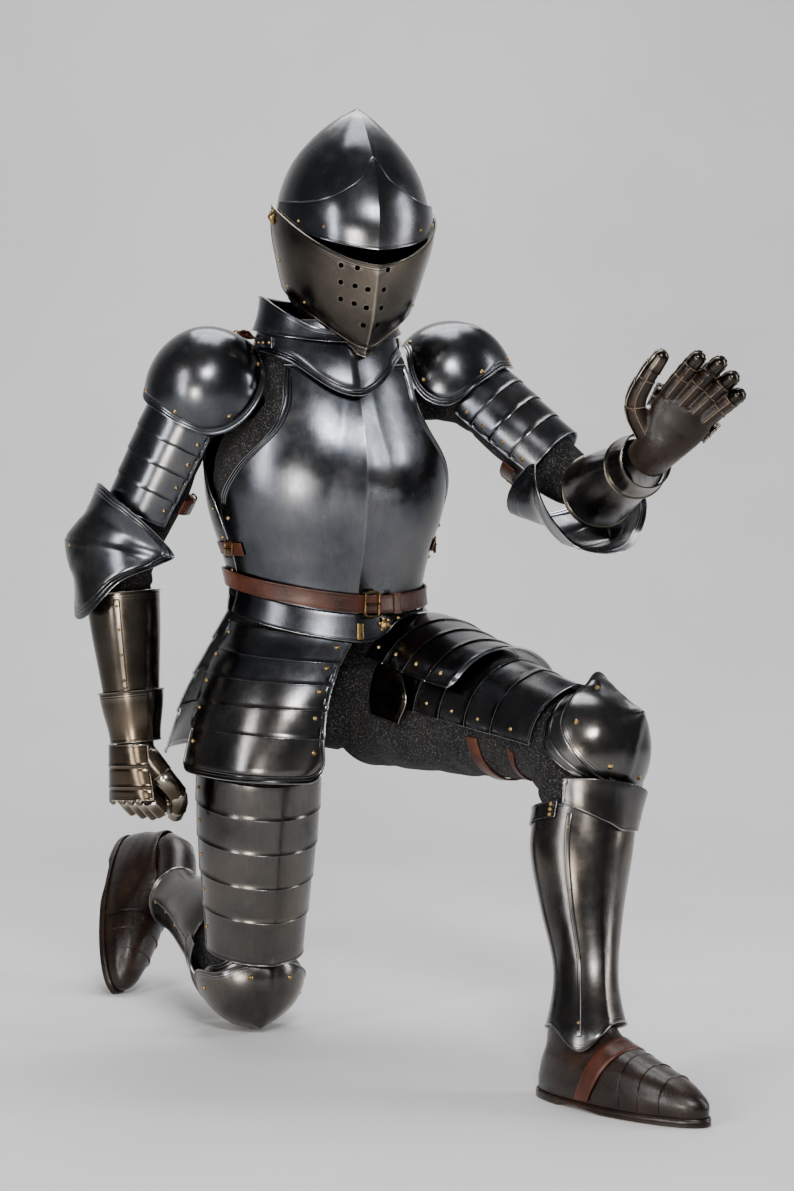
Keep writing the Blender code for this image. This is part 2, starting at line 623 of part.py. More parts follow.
def finger_rows(points, radii, sideways, sides=5):
    """Rings along a finger: square to it at its ends and on the bisector at each joint."""
    rows = []
    for i, point in enumerate(points):
        ahead = points[min(i + 1, len(points) - 1)] - points[min(i, len(points) - 2)]
        behind = points[max(i, 1)] - points[max(i - 1, 0)]
        tangent = (ahead.normalized() + behind.normalized()).normalized()
        side = (sideways - sideways.project(tangent)).normalized()
        facing = side.cross(tangent)
        turns = [radians(360 * k / sides) for k in range(sides)]
        rows.append([point + (side * sin(turn) + facing * cos(turn)) * radii[i] for turn in turns])
    return rows


def solid_from_tubes(name, tubes):
    mesh = bmesh.new()
    for rows in tubes:
        add_tube(mesh, rows)
    data = bpy.data.meshes.new(name)
    mesh.to_mesh(data)
    mesh.free()
    return data


def add_cutter(name, tubes):
    made = bpy.data.objects.new(name, solid_from_tubes(name, tubes))
    CUTTERS.objects.link(made)
    made.hide_render = True
    made.display_type = "WIRE"
    return made


def boolean(target, operation, cutter):
    cut = target.modifiers.new(cutter.name, "BOOLEAN")
    cut.operation = operation
    cut.solver = "EXACT"
    cut.use_self = True
    cut.object = cutter


def make_glove(side, palm_path, back, curl, fan, thumb_ways, plate_start):
    """palm_path runs from inside the cuff to the knuckles; back is the way the back of the hand
    faces; curl is the bend at each finger joint towards the palm, in degrees; fan is the fingers'
    lean towards the thumb and how much it grows with their place; thumb_ways are the thumb bones'
    parts towards the thumb side, the tips and the palm."""
    along = (palm_path[-1] - palm_path[-2]).normalized()
    back = (back - back.project(along)).normalized()
    thumbward = back.cross(along) if side == "right" else along.cross(back)
    palm = Limb(palm_path, PALM_RINGS, thumbward)
    fingers = []
    for spread, length in FINGERS:
        base = palm_path[-1] + thumbward * spread - along * 0.004
        turned = []
        angle = 0.0
        for bend in curl:
            angle += radians(bend)
            turned.append(along * cos(angle) - back * sin(angle) + thumbward * (fan[0] + spread * fan[1]))
        bones = [bone * length for bone in FINGER_BONES]
        fingers.append((chain(base, bones, turned), (0.0118, 0.0112, 0.0104, 0.0086)))
    thumb_base = palm_path[-2] + thumbward * 0.015 - along * 0.036
    directions = [thumbward * a + along * b - back * c for a, b, c in thumb_ways]
    thumb = (chain(thumb_base, THUMB_BONES, directions), (0.0150, 0.0140, 0.0125, 0.0095))
    digits = fingers + [thumb]
    outer = [finger_rows(points, radii, thumbward + back * 0.01) for points, radii in digits]
    inner = [finger_rows(points[:-1] + [points[-1].lerp(points[-2], 0.15)],
                         [r - LEATHER for r in radii], thumbward + back * 0.01) for points, radii in digits]
    name = f"glove_{side}"
    hand = add_object(name, solid_from_tubes(name, [tube_rows(palm, (8, 4))]), "glove_leather")
    boolean(hand, "UNION", add_cutter(f"cut_fingers_{side}", outer))
    hollow = tube_rows(palm, (8, 4), -LEATHER, 0.0, 0.97)
    mouth = [point + (palm_path[0] - palm_path[1]).normalized() * 0.02 for point in hollow[0]]
    boolean(hand, "DIFFERENCE", add_cutter(f"cut_hollow_{side}", [[mouth] + hollow] + inner))
    shield = Form(palm_path[-1] - along * 0.092, palm_path[-1], back, thumbward, HAND_PLATE_RINGS)
    plate(f"hand_plate_{side}", shield, plate_start, 0.094, (-78, 78), (6, 2), finish="brown_steel")


def make_hands():
    forearm = (WRIST["right"] - ELBOW["right"]).normalized()
    wrist = WRIST["right"]
    down = Vector((-0.02, -0.10, -0.99))
    path = (wrist - forearm * 0.012, wrist + down * 0.022, wrist + down * 0.055, wrist + down * 0.090)
    make_glove("right", path, Vector((-0.94, -0.32, 0)), (52, 96, 70), (0.0, 0.6),
               ((0.60, 0.72, 0.20), (0.00, 0.72, 0.62), (-0.60, 0.66, 0.35)), 0.016)
    forearm = (WRIST["left"] - ELBOW["left"]).normalized()
    wrist = WRIST["left"]
    raised = Vector((0.386, -0.458, 0.800)).normalized()
    root = wrist + forearm * 0.026
    path = (wrist - forearm * 0.006, root + raised * 0.018, root + raised * 0.050, root + raised * 0.080)
    make_glove("left", path, Vector((0.375, 0.927, -0.07)), (8, 10, 10), (-0.16, 3.6),
               ((0.83, 0.56, 0.10), (0.22, 0.97, 0.10), (0.02, 1.00, 0.05)), 0.060)


# ---- legs ----
def make_leg(side, thigh_facing, cuisse_sides, shin_facing, wing, knee_tip):
    hip, knee, ankle = HIP[side], KNEE[side], ANKLE[side]
    thigh = Form(hip, knee, thigh_facing, OUTWARD[side], THIGH_RINGS)
    stepped(f"cuisse_{side}", thigh, (0.120, 0.170, 0.220, 0.270, 0.320, 0.382), 0.010, cuisse_sides, 8)
    shin_way = (ankle - knee).normalized() - (hip - knee).normalized()
    cap = Bowl(knee, KNEE_POLE[side], shin_way, wing, POLEYN_RIM[side], knee_tip)
    bowl(f"poleyn_{side}", cap, (14, 3))
    shin = Form(knee, ankle, shin_facing, OUTWARD[side], SHIN_RINGS)
    start, low = KNEE_LAME[side]
    plate(f"knee_lame_{side}", shin, 0.060, low, (start, 105), (10, 1), lift=((0, 0.010), (1, 0.004)))
    plate(f"greave_{side}", shin, 0.090, GREAVE_EDGE[side], (-180, 180), (12, 6))
    make_hose(side)


def make_hose(side):
    """The cloth leg, from the hip through the bend of the knee into the greave."""
    hip, knee, ankle = HIP[side], KNEE[side], ANKLE[side]
    inside = ((hip - knee).normalized() + (ankle - knee).normalized()).normalized()
    sag = Vector((0, 0, -0.012)) if side == "left" else Vector()
    start = hip + sag * 2.6 + sag.cross(FRONT) * 1.5
    path = (start, hip.lerp(knee, 0.42) + sag, hip.lerp(knee, 0.80) + inside * 0.004,
            knee.lerp(ankle, 0.10) + inside * 0.030, knee.lerp(ankle, 0.40))
    hose = Limb(path, HOSE_RINGS[side], LEFT)
    tube(f"hose_{side}", hose, (10, 6), FELT, "arming_cloth")
    HOSES[side] = hose
    return hose


def cut_holes(cloth, limbs, inward, columns):
    """Open a round hole in a cloth body where each limb's tube leaves it."""
    for side, limb in limbs.items():
        hole = tube_rows(limb, (columns, 2), SEAM, 0.0, 0.25)
        start = [point + inward[side] * 0.03 for point in hole[0]]
        boolean(cloth, "DIFFERENCE", add_cutter(f"cut_{cloth.name}_{side}", [[start] + hole]))


def make_breeches():
    """The seat of the hose: a bowl of cloth with a round hole for each leg."""
    pelvis = Form(Vector(), UP, FRONT, LEFT, PELVIS_RINGS)
    angles = [360 * i / 12 for i in range(12)]
    rows = [[pelvis.point(angle, place) for angle in angles] for place in steps(5, -0.232, -0.040)]
    seat = shell("breeches", rows, FELT, "arming_cloth", closed=True, pole=True)
    cut_holes(seat, HOSES, {side: (HIP[side] - KNEE[side]).normalized() for side in HIP}, 10)


def make_doublet():
    """The body of the arming doublet, which shows in the armholes of the cuirass."""
    trunk = Form(Vector(), UP, FRONT, LEFT, DOUBLET_RINGS)
    body = plate("doublet", trunk, 0.100, 0.318, (-180, 180), (14, 4), wall=FELT, finish="arming_cloth")
    cut_holes(body, SLEEVES, {side: -OUTWARD[side] for side in OUTWARD}, 8)


def make_shoe(side, sole_middle, upward, forward, top):
    """A leather shoe on its foot's own axes: place is the height over the sole."""
    foot = Form(sole_middle, sole_middle + upward, forward, OUTWARD[side], SHOE_RINGS)
    angles = [360 * i / 14 for i in range(14)]
    slab = [[foot.point(angle, SHOE_RINGS[0][0], 0.003) - foot.along * drop for angle in angles]
            for drop in (SEAM + SOLE, SEAM)]
    drop = FLOOR - min(point.z for row in slab for point in row)
    foot.start = foot.start + UP * drop
    slab = [[point + UP * drop for point in row] for row in slab]
    add_object(f"sole_{side}", solid_from_tubes(f"sole_{side}", [slab]), "shoe_leather")
    plate(f"shoe_{side}", foot, 0.010, top, (-180, 180), (14, 5), wall=LEATHER, finish="shoe_leather")
    return foot


def make_feet():
    make_shoe("left", Vector((0.1705, -0.6070, -0.6298)), UP, Vector((0.114, -0.260, 0)), 0.108)
    make_shoe("right", Vector((-0.169, 0.450, -0.540)), Vector((0.57, -0.73, 0.38)),
              Vector((-0.30, -0.575, -0.75)), 0.092)


def make_leg_straps():
    for number, place in enumerate((0.36, 0.50), start=1):
        plate(f"thigh_strap_{number}", HOSES["left"], place, place + 0.03, (-78, 78), (8, 1), lift=0.0060,
              wall=LEATHER, finish="strap_leather")


for old in list(bpy.data.objects):
    bpy.data.objects.remove(old)
SUIT = collection("suit_of_plate_armour")
CUTTERS = collection("cutters")
HOSES = {}
SLEEVES = {}


def make_suit():
    make_helmet()
    make_neck()
    make_trunk()
    make_arm("right", Vector((-0.50, -0.50, 0.70)), FRONT, UP * 0.016, OUTWARD["right"], 0.178)
    make_arm("left", Vector((0.05, -0.45, 0.89)), LEFT * -1, Vector(), Vector((0.37, -0.51, 0.78)), 0.200)
    make_doublet()
    make_hands()
    make_leg("right", FRONT, (-105, 105), FRONT - UP, LEFT * -1, 0.078)
    make_leg("left", UP, (-95, 95), FRONT, LEFT, 0.092)
    make_breeches()
    make_feet()
    make_leg_straps()


make_suit()
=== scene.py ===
# %% [markdown]
# # A suit of plate armour, kneeling
#
# A field harness is a set of steel shells, each one shaped to a part of the body and hung from
# leather. Here every shell is a smooth sheet of points laid over a simple form: a tube of oval rings
# along a bone, or a bowl round a joint. The sheet carries its own rolled edge, its engraved lines
# and its keel, so that light catches real shapes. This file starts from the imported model, which
# says where each piece is, and puts a finely worked piece in the place of each plain one.

import random
from math import cos, degrees, exp, pi, radians, sin

import bmesh
import bpy
import numpy as np
from mathutils import Matrix, Vector, noise


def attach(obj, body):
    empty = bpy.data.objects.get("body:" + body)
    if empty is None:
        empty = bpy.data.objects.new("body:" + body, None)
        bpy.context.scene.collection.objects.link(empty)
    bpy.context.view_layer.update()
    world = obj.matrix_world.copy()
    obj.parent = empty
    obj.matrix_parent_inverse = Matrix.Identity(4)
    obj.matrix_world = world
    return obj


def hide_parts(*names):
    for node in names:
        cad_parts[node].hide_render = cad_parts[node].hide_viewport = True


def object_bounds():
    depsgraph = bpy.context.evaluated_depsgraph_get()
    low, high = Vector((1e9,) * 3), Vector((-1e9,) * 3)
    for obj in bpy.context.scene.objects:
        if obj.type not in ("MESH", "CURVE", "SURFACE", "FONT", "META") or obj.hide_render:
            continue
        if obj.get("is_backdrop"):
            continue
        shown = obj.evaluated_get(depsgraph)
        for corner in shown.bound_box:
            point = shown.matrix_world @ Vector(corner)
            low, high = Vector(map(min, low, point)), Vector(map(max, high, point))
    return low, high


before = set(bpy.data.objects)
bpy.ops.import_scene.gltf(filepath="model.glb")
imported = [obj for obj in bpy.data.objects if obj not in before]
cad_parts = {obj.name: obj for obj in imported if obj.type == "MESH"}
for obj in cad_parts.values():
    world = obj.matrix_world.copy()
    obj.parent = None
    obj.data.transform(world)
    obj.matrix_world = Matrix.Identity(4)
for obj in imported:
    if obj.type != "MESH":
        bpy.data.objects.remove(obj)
CAD_BOX = [list(corner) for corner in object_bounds()]
UP, FRONT, LEFT = Vector((0, 0, 1)), Vector((0, -1, 0)), Vector((1, 0, 0))
SIDES = ("right", "left")
OUTWARD = {"right": LEFT * -1, "left": LEFT * 1}
SIGN = {"right": -1, "left": 1}
ALL_ROUND = (-180, 180)
print("pieces of the packed model:", len(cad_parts))
print("its box:", [[round(v, 3) for v in corner] for corner in CAD_BOX])

# %% [markdown]
# ## The figure inside
#
# An armourer works from the wearer's measures. The joints below are the centres of the shoulders,
# elbows, wrists, hips, knees and ankles of a person kneeling on the right knee with the left hand
# raised. Nothing is made of the wearer: the points only say where the shells go.

# %% Joints of the figure
VISOR_PIVOT = Vector((0.020, -0.050, 0.516))
HEAD_TILT = (15.0, 1.2, -5.5)     # pitch forward, roll and yaw, in degrees
SHOULDER = {"right": Vector((-0.181, -0.002, 0.285)), "left": Vector((0.188, -0.001, 0.298))}
ELBOW = {"right": Vector((-0.282, 0.071, 0.038)), "left": Vector((0.339, -0.148, 0.130))}
WRIST = {"right": Vector((-0.270, 0.044, -0.200)), "left": Vector((0.308, -0.394, 0.191))}
HIP = {"right": Vector((-0.0975, 0.002, -0.130)), "left": Vector((0.0956, -0.001, -0.130))}
KNEE = {"right": Vector((-0.094, 0.047, -0.553)), "left": Vector((0.215, -0.424, -0.186))}
ANKLE = {"right": Vector((-0.112, 0.400, -0.475)), "left": Vector((0.153, -0.529, -0.545))}
KNEE_POLE = {"right": Vector((-0.05, -0.50, -0.87)), "left": Vector((0.42, -0.68, 0.50))}
print("thigh", round((HIP["right"] - KNEE["right"]).length, 3), "m, shin",
      round((KNEE["right"] - ANKLE["right"]).length, 3), "m")

# %% [markdown]
# ## Forms
#
# A plate is never drawn by itself. It is cut from a form: the table gives the form's width, depth
# and keel at a few places along it, and a smooth curve is read between them. One form can then
# carry a plate, the strap that crosses it and the rivets in it, all at the right height.

# %% Reading a table smoothly
def between(rows, place):
    """The values of a table at a place; each row is its place followed by the values there."""
    if place <= rows[0][0]:
        return rows[0][1:]
    if place >= rows[-1][0]:
        return rows[-1][1:]
    index = max(i for i, row in enumerate(rows) if row[0] <= place)
    low, high = rows[index], rows[index + 1]
    before, after = rows[max(index - 1, 0)], rows[min(index + 2, len(rows) - 1)]
    span = high[0] - low[0]
    t = (place - low[0]) / span
    values = []
    for k in range(1, len(low)):
        start_slope = (high[k] - before[k]) / (high[0] - before[0]) * span
        end_slope = (after[k] - low[k]) / (after[0] - low[0]) * span
        values.append((2 * t ** 3 - 3 * t ** 2 + 1) * low[k] + (t ** 3 - 2 * t ** 2 + t) * start_slope
                      + (3 * t ** 2 - 2 * t ** 3) * high[k] + (t ** 3 - t ** 2) * end_slope)
    return tuple(values)


def read(setting, place):
    """A plain number, or a two-column table read at a place."""
    return setting if isinstance(setting, (int, float)) else between(setting, place)[0]


def smooth(value):
    """An even step from 0 to 1."""
    value = min(1.0, max(0.0, value))
    return value * value * (3 - 2 * value)


print("halfway through a small table:", between(((0, 1.0), (1, 2.0), (2, 0.0)), 0.5))


# %% The three kinds of form
class Form:
    """A tube of oval rings along a bone; angle 0 faces the front and grows to the side.
    A ring is its place, side and front shift, half width, half depth and, where it has one, keel."""

    def __init__(self, start, end, facing, sideways, rings, keel_width=40.0):
        self.start = start
        self.along = (end - start).normalized()
        self.facing = (facing - facing.project(self.along)).normalized()
        self.side = self.along.cross(self.facing)
        if self.side.dot(sideways) < 0:
            self.side = -self.side
        self.rings = tuple((*ring, 0.0)[:6] for ring in rings)
        self.keel_width = keel_width

    def point(self, angle, place, lift=0.0):
        side, front, half_width, half_depth, keel = between(self.rings, place)
        turn = (angle + 180) % 360 - 180
        front += keel * max(0.0, 1 - abs(turn) / self.keel_width) ** 2
        across = side + (half_width + lift) * sin(radians(angle))
        depth = front + (half_depth + lift) * cos(radians(angle))
        return self.start + self.side * across + self.facing * depth + self.along * place


class Bowl:
    """A bowl round a joint, with a raised tip at its pole and a rim of varied reach."""

    def __init__(self, centre, pole, zero, ninety, rim, tip, tip_share=0.4):
        self.centre = centre
        self.pole = pole.normalized()
        self.zero = (zero - zero.project(self.pole)).normalized()
        self.ninety = self.pole.cross(self.zero)
        if self.ninety.dot(ninety) < 0:
            self.ninety = -self.ninety
        back = (rim[-1][0] - 360,) + rim[-1][1:]
        self.rim = (back,) + rim + tuple((row[0] + 360,) + row[1:] for row in rim[:2])
        self.tip = tip
        self.tip_share = tip_share

    def point(self, turn, share, lift=0.0):
        reach, body, edge = between(self.rim, turn % 360)
        polar = radians(reach) * share
        radius = body + lift + (self.tip - body) * max(0.0, 1 - share / self.tip_share) ** 2
        radius += (edge - body) * max(0.0, 2 * share - 1) ** 2
        outward = self.zero * cos(radians(turn)) + self.ninety * sin(radians(turn))
        return self.centre + (self.pole * cos(polar) + outward * sin(polar)) * radius


class Limb:
    """A round tube along a smooth path through a few points; sideways stays across the bend."""

    def __init__(self, points, rings, sideways):
        self.sideways = sideways
        self.path = tuple((i / (len(points) - 1),) + tuple(p) for i, p in enumerate(points))
        self.rings = rings

    def axes(self, share):
        step = 0.02
        ahead = Vector(between(self.path, min(1.0, share + step)))
        behind = Vector(between(self.path, max(0.0, share - step)))
        tangent = (ahead - behind).normalized()
        side = (self.sideways - self.sideways.project(tangent)).normalized()
        return Vector(between(self.path, share)), side, side.cross(tangent)

    def point(self, angle, share, lift=0.0):
        centre, side, facing = self.axes(share)
        half_width, half_depth = between(self.rings, share)
        across = side * (half_width + lift) * sin(radians(angle))
        return centre + across + facing * (half_depth + lift) * cos(radians(angle))


# %% A face: any form's surface by shares across and along
def strip(form, low, high, sides):
    """The sheet of a plate between two edges; sides are its end angles, or a table of them."""
    def face(across, along, lift=0.0):
        place = read(low, across) + (read(high, across) - read(low, across)) * along
        ends = sides if isinstance(sides[0], (int, float)) else between(sides, place)
        return form.point(ends[0] + (ends[1] - ends[0]) * across, place, lift)
    return face


def all_round(form, start=0.0, span=1.0):
    """The whole sheet of a bowl or a tube: across goes round it, along goes over a span from a start."""
    return lambda across, along, lift=0.0: form.point(360 * across, start + span * along, lift)


def spot(face, across, along, lift=0.0):
    """A point on a sheet and the way out from it."""
    away = 0.004
    inner, outer = face(across, along, lift), face(across, along, lift + away)
    return inner, (outer - inner).normalized()


def form_spot(form, angle, place):
    """A point on a form and the way out from it."""
    point = form.point(angle, place)
    return point, (form.point(angle, place, 0.01) - point).normalized()


def way(face, across, along, turn):
    """A direction in the sheet: turn 0 is across it and 90 is along it."""
    step = 0.01
    _, out = spot(face, across, along)
    right = (face(across + step, along) - face(across - step, along)).normalized()
    up = out.cross(right).normalized()
    return (right * cos(radians(turn)) + up * sin(radians(turn))).normalized()


# %% [markdown]
# ## Worked edges
#
# The edge of a plate is where an armourer spends the time: it is rolled over a wire so that it
# neither cuts nor bends, and lines are cut beside it to catch the light. A profile table gives the
# height of the metal at each distance from the edge. The sheet gets a row of points at exactly
# those distances, and wide rows in between, so the fine work costs few faces.

# %% Edge profiles: distance from the edge and height, in millimetres
ROLLED = ((0.0, 0.2), (0.35, 1.1), (1.1, 1.6), (1.9, 1.3), (2.5, 0.4), (2.9, 0.0), (4.8, 0.0),
          (5.1, -0.45), (5.7, -0.45), (6.0, 0.0), (7.6, 0.0), (7.9, -0.45), (8.5, -0.45), (8.8, 0.0))
LINED = ((0.0, 0.3), (0.6, 1.3), (1.5, 1.8), (2.4, 1.3), (3.2, -0.3), (4.2, -0.6), (5.0, 0.4), (5.8, 0.9),
         (6.6, 0.4), (7.4, -0.6), (8.3, -0.6), (9.0, 0.3), (9.8, 0.7), (10.6, 0.2), (11.4, -0.5), (12.6, 0.0))
LIP = ((0.0, 0.0), (0.25, 0.30), (0.7, 0.34), (1.2, 0.0))
BEADED = ((0.0, 0.3), (0.7, 1.7), (1.8, 2.3), (2.9, 1.6), (3.8, -0.3), (4.6, -0.5), (5.5, 1.0),
          (6.5, 1.6), (7.5, 0.9), (8.4, -0.5), (9.2, -0.5), (10.0, 0.7), (10.9, 1.2), (11.8, 0.5),
          (12.7, -0.5), (14.0, 0.0))
TURNED = ((0.0, 0.0), (0.3, 0.5), (0.9, 0.7), (1.5, 0.5), (2.1, 0.0), (3.6, 0.0), (3.9, -0.35),
          (4.5, -0.35), (4.8, 0.0))
EASED = ((0.0, -0.5), (0.4, -0.12), (1.0, 0.0))
CUT_LEATHER = ((0.0, -0.9), (0.5, -0.25), (1.2, 0.0), (2.4, 0.0), (2.8, -0.4), (3.3, -0.4), (3.7, 0.0))
HEMMED = ((0.0, -0.8), (1.0, 0.4), (2.6, 0.9), (5.0, 0.9), (6.6, 0.4), (7.6, -0.5), (8.6, 0.0))
SCALE_LIP = ((0.0, -0.2), (0.4, 0.4), (1.0, 0.5), (1.6, 0.0))
ALL_EASED = {"low": EASED, "high": EASED, "side": EASED}
ALL_TURNED = {"low": TURNED, "high": TURNED, "side": TURNED}
MILLIMETRE = 0.001


def edge_height(profile, distance):
    """The height of a worked edge at a distance from it, in metres."""
    distance /= MILLIMETRE
    for (near, low), (far, high) in zip(profile, profile[1:]):
        if distance <= far:
            share = (distance - near) / (far - near)
            return (low + (high - low) * share) * MILLIMETRE
    return 0.0


def places(first, last, count, closed=False):
    """How each place along a row is set: from the first edge, from the last edge or between."""
    inner = [("between", i / count) for i in range(count if closed else count + 1)]
    if closed:
        return inner
    if first:
        inner = [("first", d * MILLIMETRE) for d, _ in first] + inner[1:]
    if last:
        inner = inner[:-1] + [("last", d * MILLIMETRE) for d, _ in reversed(last)]
    return inner


WORKED_SHARE = 0.94       # the most of a row that its two worked edges may take


def share_of(rule, length, first, last):
    """A place's share of a row of this length."""
    kind, value = rule
    head = first[-1][0] * MILLIMETRE / length if first else 0.0
    tail = last[-1][0] * MILLIMETRE / length if last else 0.0
    total = head + tail
    if total > WORKED_SHARE:
        head, tail = head * WORKED_SHARE / total, tail * WORKED_SHARE / total
        length = length * total / WORKED_SHARE
    if kind == "first":
        return value / length
    if kind == "last":
        return 1 - value / length
    return head + (1 - head - tail) * value


print("edge profiles ready; a rolled edge stands", max(h for _, h in ROLLED), "mm proud")


# %% [markdown]
# ## One sheet of metal
#
# `sheet_rows` lays the points. It measures each row and column first, so that an edge keeps its
# width even where the plate narrows. `skin` joins the points into faces, gives the sheet its
# thickness with a Solidify modifier, and hides the plain model's piece that it stands for.

# %% Laying the points of a sheet
SHORTEST_ROW = 1e-4
MEASURED_AT = {"first": 0.02, "last": 0.98}


def row_length(line):
    return sum((b - a).length for a, b in zip(line, line[1:]))


def proud(height):
    """A rise that stands a whole plate off its form."""
    return lambda across, along: height


def flared(height, base=0.0):
    """A rise that grows towards the free edge, so that one lame rides over the next."""
    return lambda across, along: base + height * (1 - along)


def sheet_rows(face, size, low=None, high=None, side=None, closed=False, rise=None, fade=None):
    """Rows of points over a face. low, high and side are edge profiles, rise adds a height at a pair
    of shares, and fade scales the side edges' profile along the plate."""
    columns, count = size
    across_rules = places(side, side, columns, closed)
    along_rules = places(low, high, count)
    samples = [i / 10 for i in range(11)]
    heights = [row_length([face(MEASURED_AT.get(kind, value), t) for t in samples])
               for kind, value in across_rules]
    widths = [row_length([face(a, MEASURED_AT.get(kind, value)) for a in samples])
              for kind, value in along_rules]
    rows = []
    for i, along_rule in enumerate(along_rules):
        row = []
        for j, across_rule in enumerate(across_rules):
            along = share_of(along_rule, max(heights[j], SHORTEST_ROW), low, high)
            across = share_of(across_rule, max(widths[i], SHORTEST_ROW), side, side)
            nearest = []
            if low:
                nearest.append((along * heights[j], low, 1.0))
            if high:
                nearest.append(((1 - along) * heights[j], high, 1.0))
            if side:
                strength = fade(along) if fade else 1.0
                nearest.append((across * widths[i], side, strength))
                nearest.append(((1 - across) * widths[i], side, strength))
            height = 0.0
            if nearest:
                distance, profile, strength = min(nearest, key=lambda entry: entry[0])
                height = edge_height(profile, distance) * strength
            if rise:
                height += rise(across, along)
            row.append(face(across, along, height))
        rows.append(row)
    return rows


# %% Joining the points and giving them a body
def add_rows(mesh, rows, closed=False, pole=False):
    """Faces over rows of points, turned outward; a pole closes the first row to a point."""
    grid = [[mesh.verts.new(point) for point in row] for row in rows[1 if pole else 0:]]
    faces = []
    for upper, lower in zip(grid, grid[1:]):
        count = len(upper)
        for i in range(count if closed else count - 1):
            j = (i + 1) % count
            faces.append(mesh.faces.new((upper[i], upper[j], lower[j], lower[i])))
    if pole:
        tip = mesh.verts.new(rows[0][0])
        ring = grid[0]
        for i in range(len(ring)):
            faces.append(mesh.faces.new((tip, ring[(i + 1) % len(ring)], ring[i])))
    bmesh.ops.recalc_face_normals(mesh, faces=faces)
    middle = sum((face.calc_center_median() for face in faces), Vector()) / len(faces)
    outward = sum(face.normal.dot(face.calc_center_median() - middle) * face.calc_area() for face in faces)
    if outward < 0:
        bmesh.ops.reverse_faces(mesh, faces=faces)


def add_bands(mesh, rings, looped=False):
    """Faces from each ring of points to the next one."""
    grid = [[mesh.verts.new(point) for point in ring] for ring in rings]
    for low, high in list(zip(grid, grid[1:])) + ([(grid[-1], grid[0])] if looped else []):
        count = len(low)
        for k in range(count):
            mesh.faces.new((low[k], low[(k + 1) % count], high[(k + 1) % count], high[k]))
    return grid


def add_tube(mesh, rings):
    """Rings joined to a tube, with a cap on each end."""
    grid = add_bands(mesh, rings)
    mesh.faces.new(grid[0][::-1])
    mesh.faces.new(grid[-1])


# %% Placing an object
def mesh_data(name, mesh):
    """Mesh data made of a bmesh, which is then let go."""
    data = bpy.data.meshes.new(name)
    mesh.to_mesh(data)
    mesh.free()
    return data


def new_object(name, data):
    made = bpy.data.objects.new(name, data)
    bpy.context.scene.collection.objects.link(made)
    return made


def soften(data, sharp):
    """Shade a mesh smooth, with a hard edge wherever it bends by more than an angle in degrees."""
    data.shade_smooth()
    data.set_sharp_from_angle(angle=radians(sharp))


def place_object(name, mesh, finish, body="suit", stands_for=(), sharp=38):
    """Make an object of a bmesh, with its finish, its body and the plain pieces it stands for."""
    made = new_object(name, mesh_data(name, mesh))
    made.data.materials.append(FINISHES[finish])
    soften(made.data, sharp)
    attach(made, body)
    finish in SLOTS
    if stands_for:
        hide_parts(*([stands_for] if isinstance(stands_for, str) else stands_for))
    return made


def thicken(made, wall):
    body = made.modifiers.new("Wall", "SOLIDIFY")
    body.thickness = wall
    body.offset = -1
    body.use_even_offset = False
    return made


def skin(name, sheets, wall, finish, body="suit", stands_for=(), closed=False, pole=False, sharp=38):
    """An object of one or more sheets, thickened inward by its wall."""
    mesh = bmesh.new()
    for rows in sheets:
        add_rows(mesh, rows, closed, pole)
    return thicken(place_object(name, mesh, finish, body, stands_for, sharp), wall)


STEEL_WALL, LAP_WALL, SCALE_WALL = 0.0016, 0.0010, 0.0011
LEATHER_WALL, STRAP_WALL, SOFT_WALL, FELT_WALL = 0.0026, 0.0020, 0.0018, 0.0030


def plate(name, face, size, finish="blued_steel", wall=STEEL_WALL, body="suit", stands_for=(),
          closed=False, pole=False, sharp=38, **work):
    """One worked plate over a face."""
    rows = sheet_rows(face, size, closed=closed, **work)
    return skin(name, [rows], wall, finish, body, stands_for, closed, pole, sharp)


def worked(piece, face, size, finish="blued_steel", **work):
    """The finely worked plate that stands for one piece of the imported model."""
    return plate(f"{piece}_worked", face, size, finish, stands_for=piece, **work)


print("walls from", LAP_WALL * 1000, "to", FELT_WALL * 1000, "mm")

# %% [markdown]
# ## Finishes
#
# The steel is dark because it was blued by heat and oiled, and it is brushed along each piece, so a
# lamp draws a long soft streak on it. Three things make it read as old metal: slow changes of tone
# from the fire, fine streaks from polishing, and edges rubbed bright, with a painted highlight on
# them. The brown pieces have the same metal under a thin warm patina. Every pattern is worked out
# from the point's own place, so it stays on the metal when the suit is turned.

# %% Small helpers for building node trees
FINISHES, SLOTS = {}, {}


def new_finish(name, slot=None):
    """A new material; with a slot it is one of the suit's own finishes."""
    made = bpy.data.materials.new(name)
    made.use_nodes = True
    if slot:
        FINISHES[name], SLOTS[name] = made, slot
    return made, made.node_tree, made.node_tree.nodes["Principled BSDF"]


def connect(tree, node, inputs):
    """Feed a node's inputs: another node's output is linked, and a plain value is set."""
    for key, value in inputs.items():
        socket = node.inputs[key]
        if isinstance(value, bpy.types.NodeSocket):
            tree.links.new(value, socket)
        else:
            socket.default_value = value


def add_node(tree, kind, settings=None, **inputs):
    made = tree.nodes.new(kind)
    for key, value in (settings or {}).items():
        setattr(made, key, value)
    connect(tree, made, {key.replace("_", " "): value for key, value in inputs.items()})
    return made


def grain(tree, scale, detail=4.0, stretch=(1, 1, 1), roughness=0.6):
    """Noise in the suit's own space, in cycles a metre, longer along the axes with a small stretch."""
    place = add_node(tree, "ShaderNodeTexCoord")
    turned = add_node(tree, "ShaderNodeMapping", Vector=place.outputs["Object"], Scale=stretch)
    return add_node(tree, "ShaderNodeTexNoise", Vector=turned.outputs["Vector"], Scale=scale,
                    Detail=detail, Roughness=roughness).outputs["Fac"]


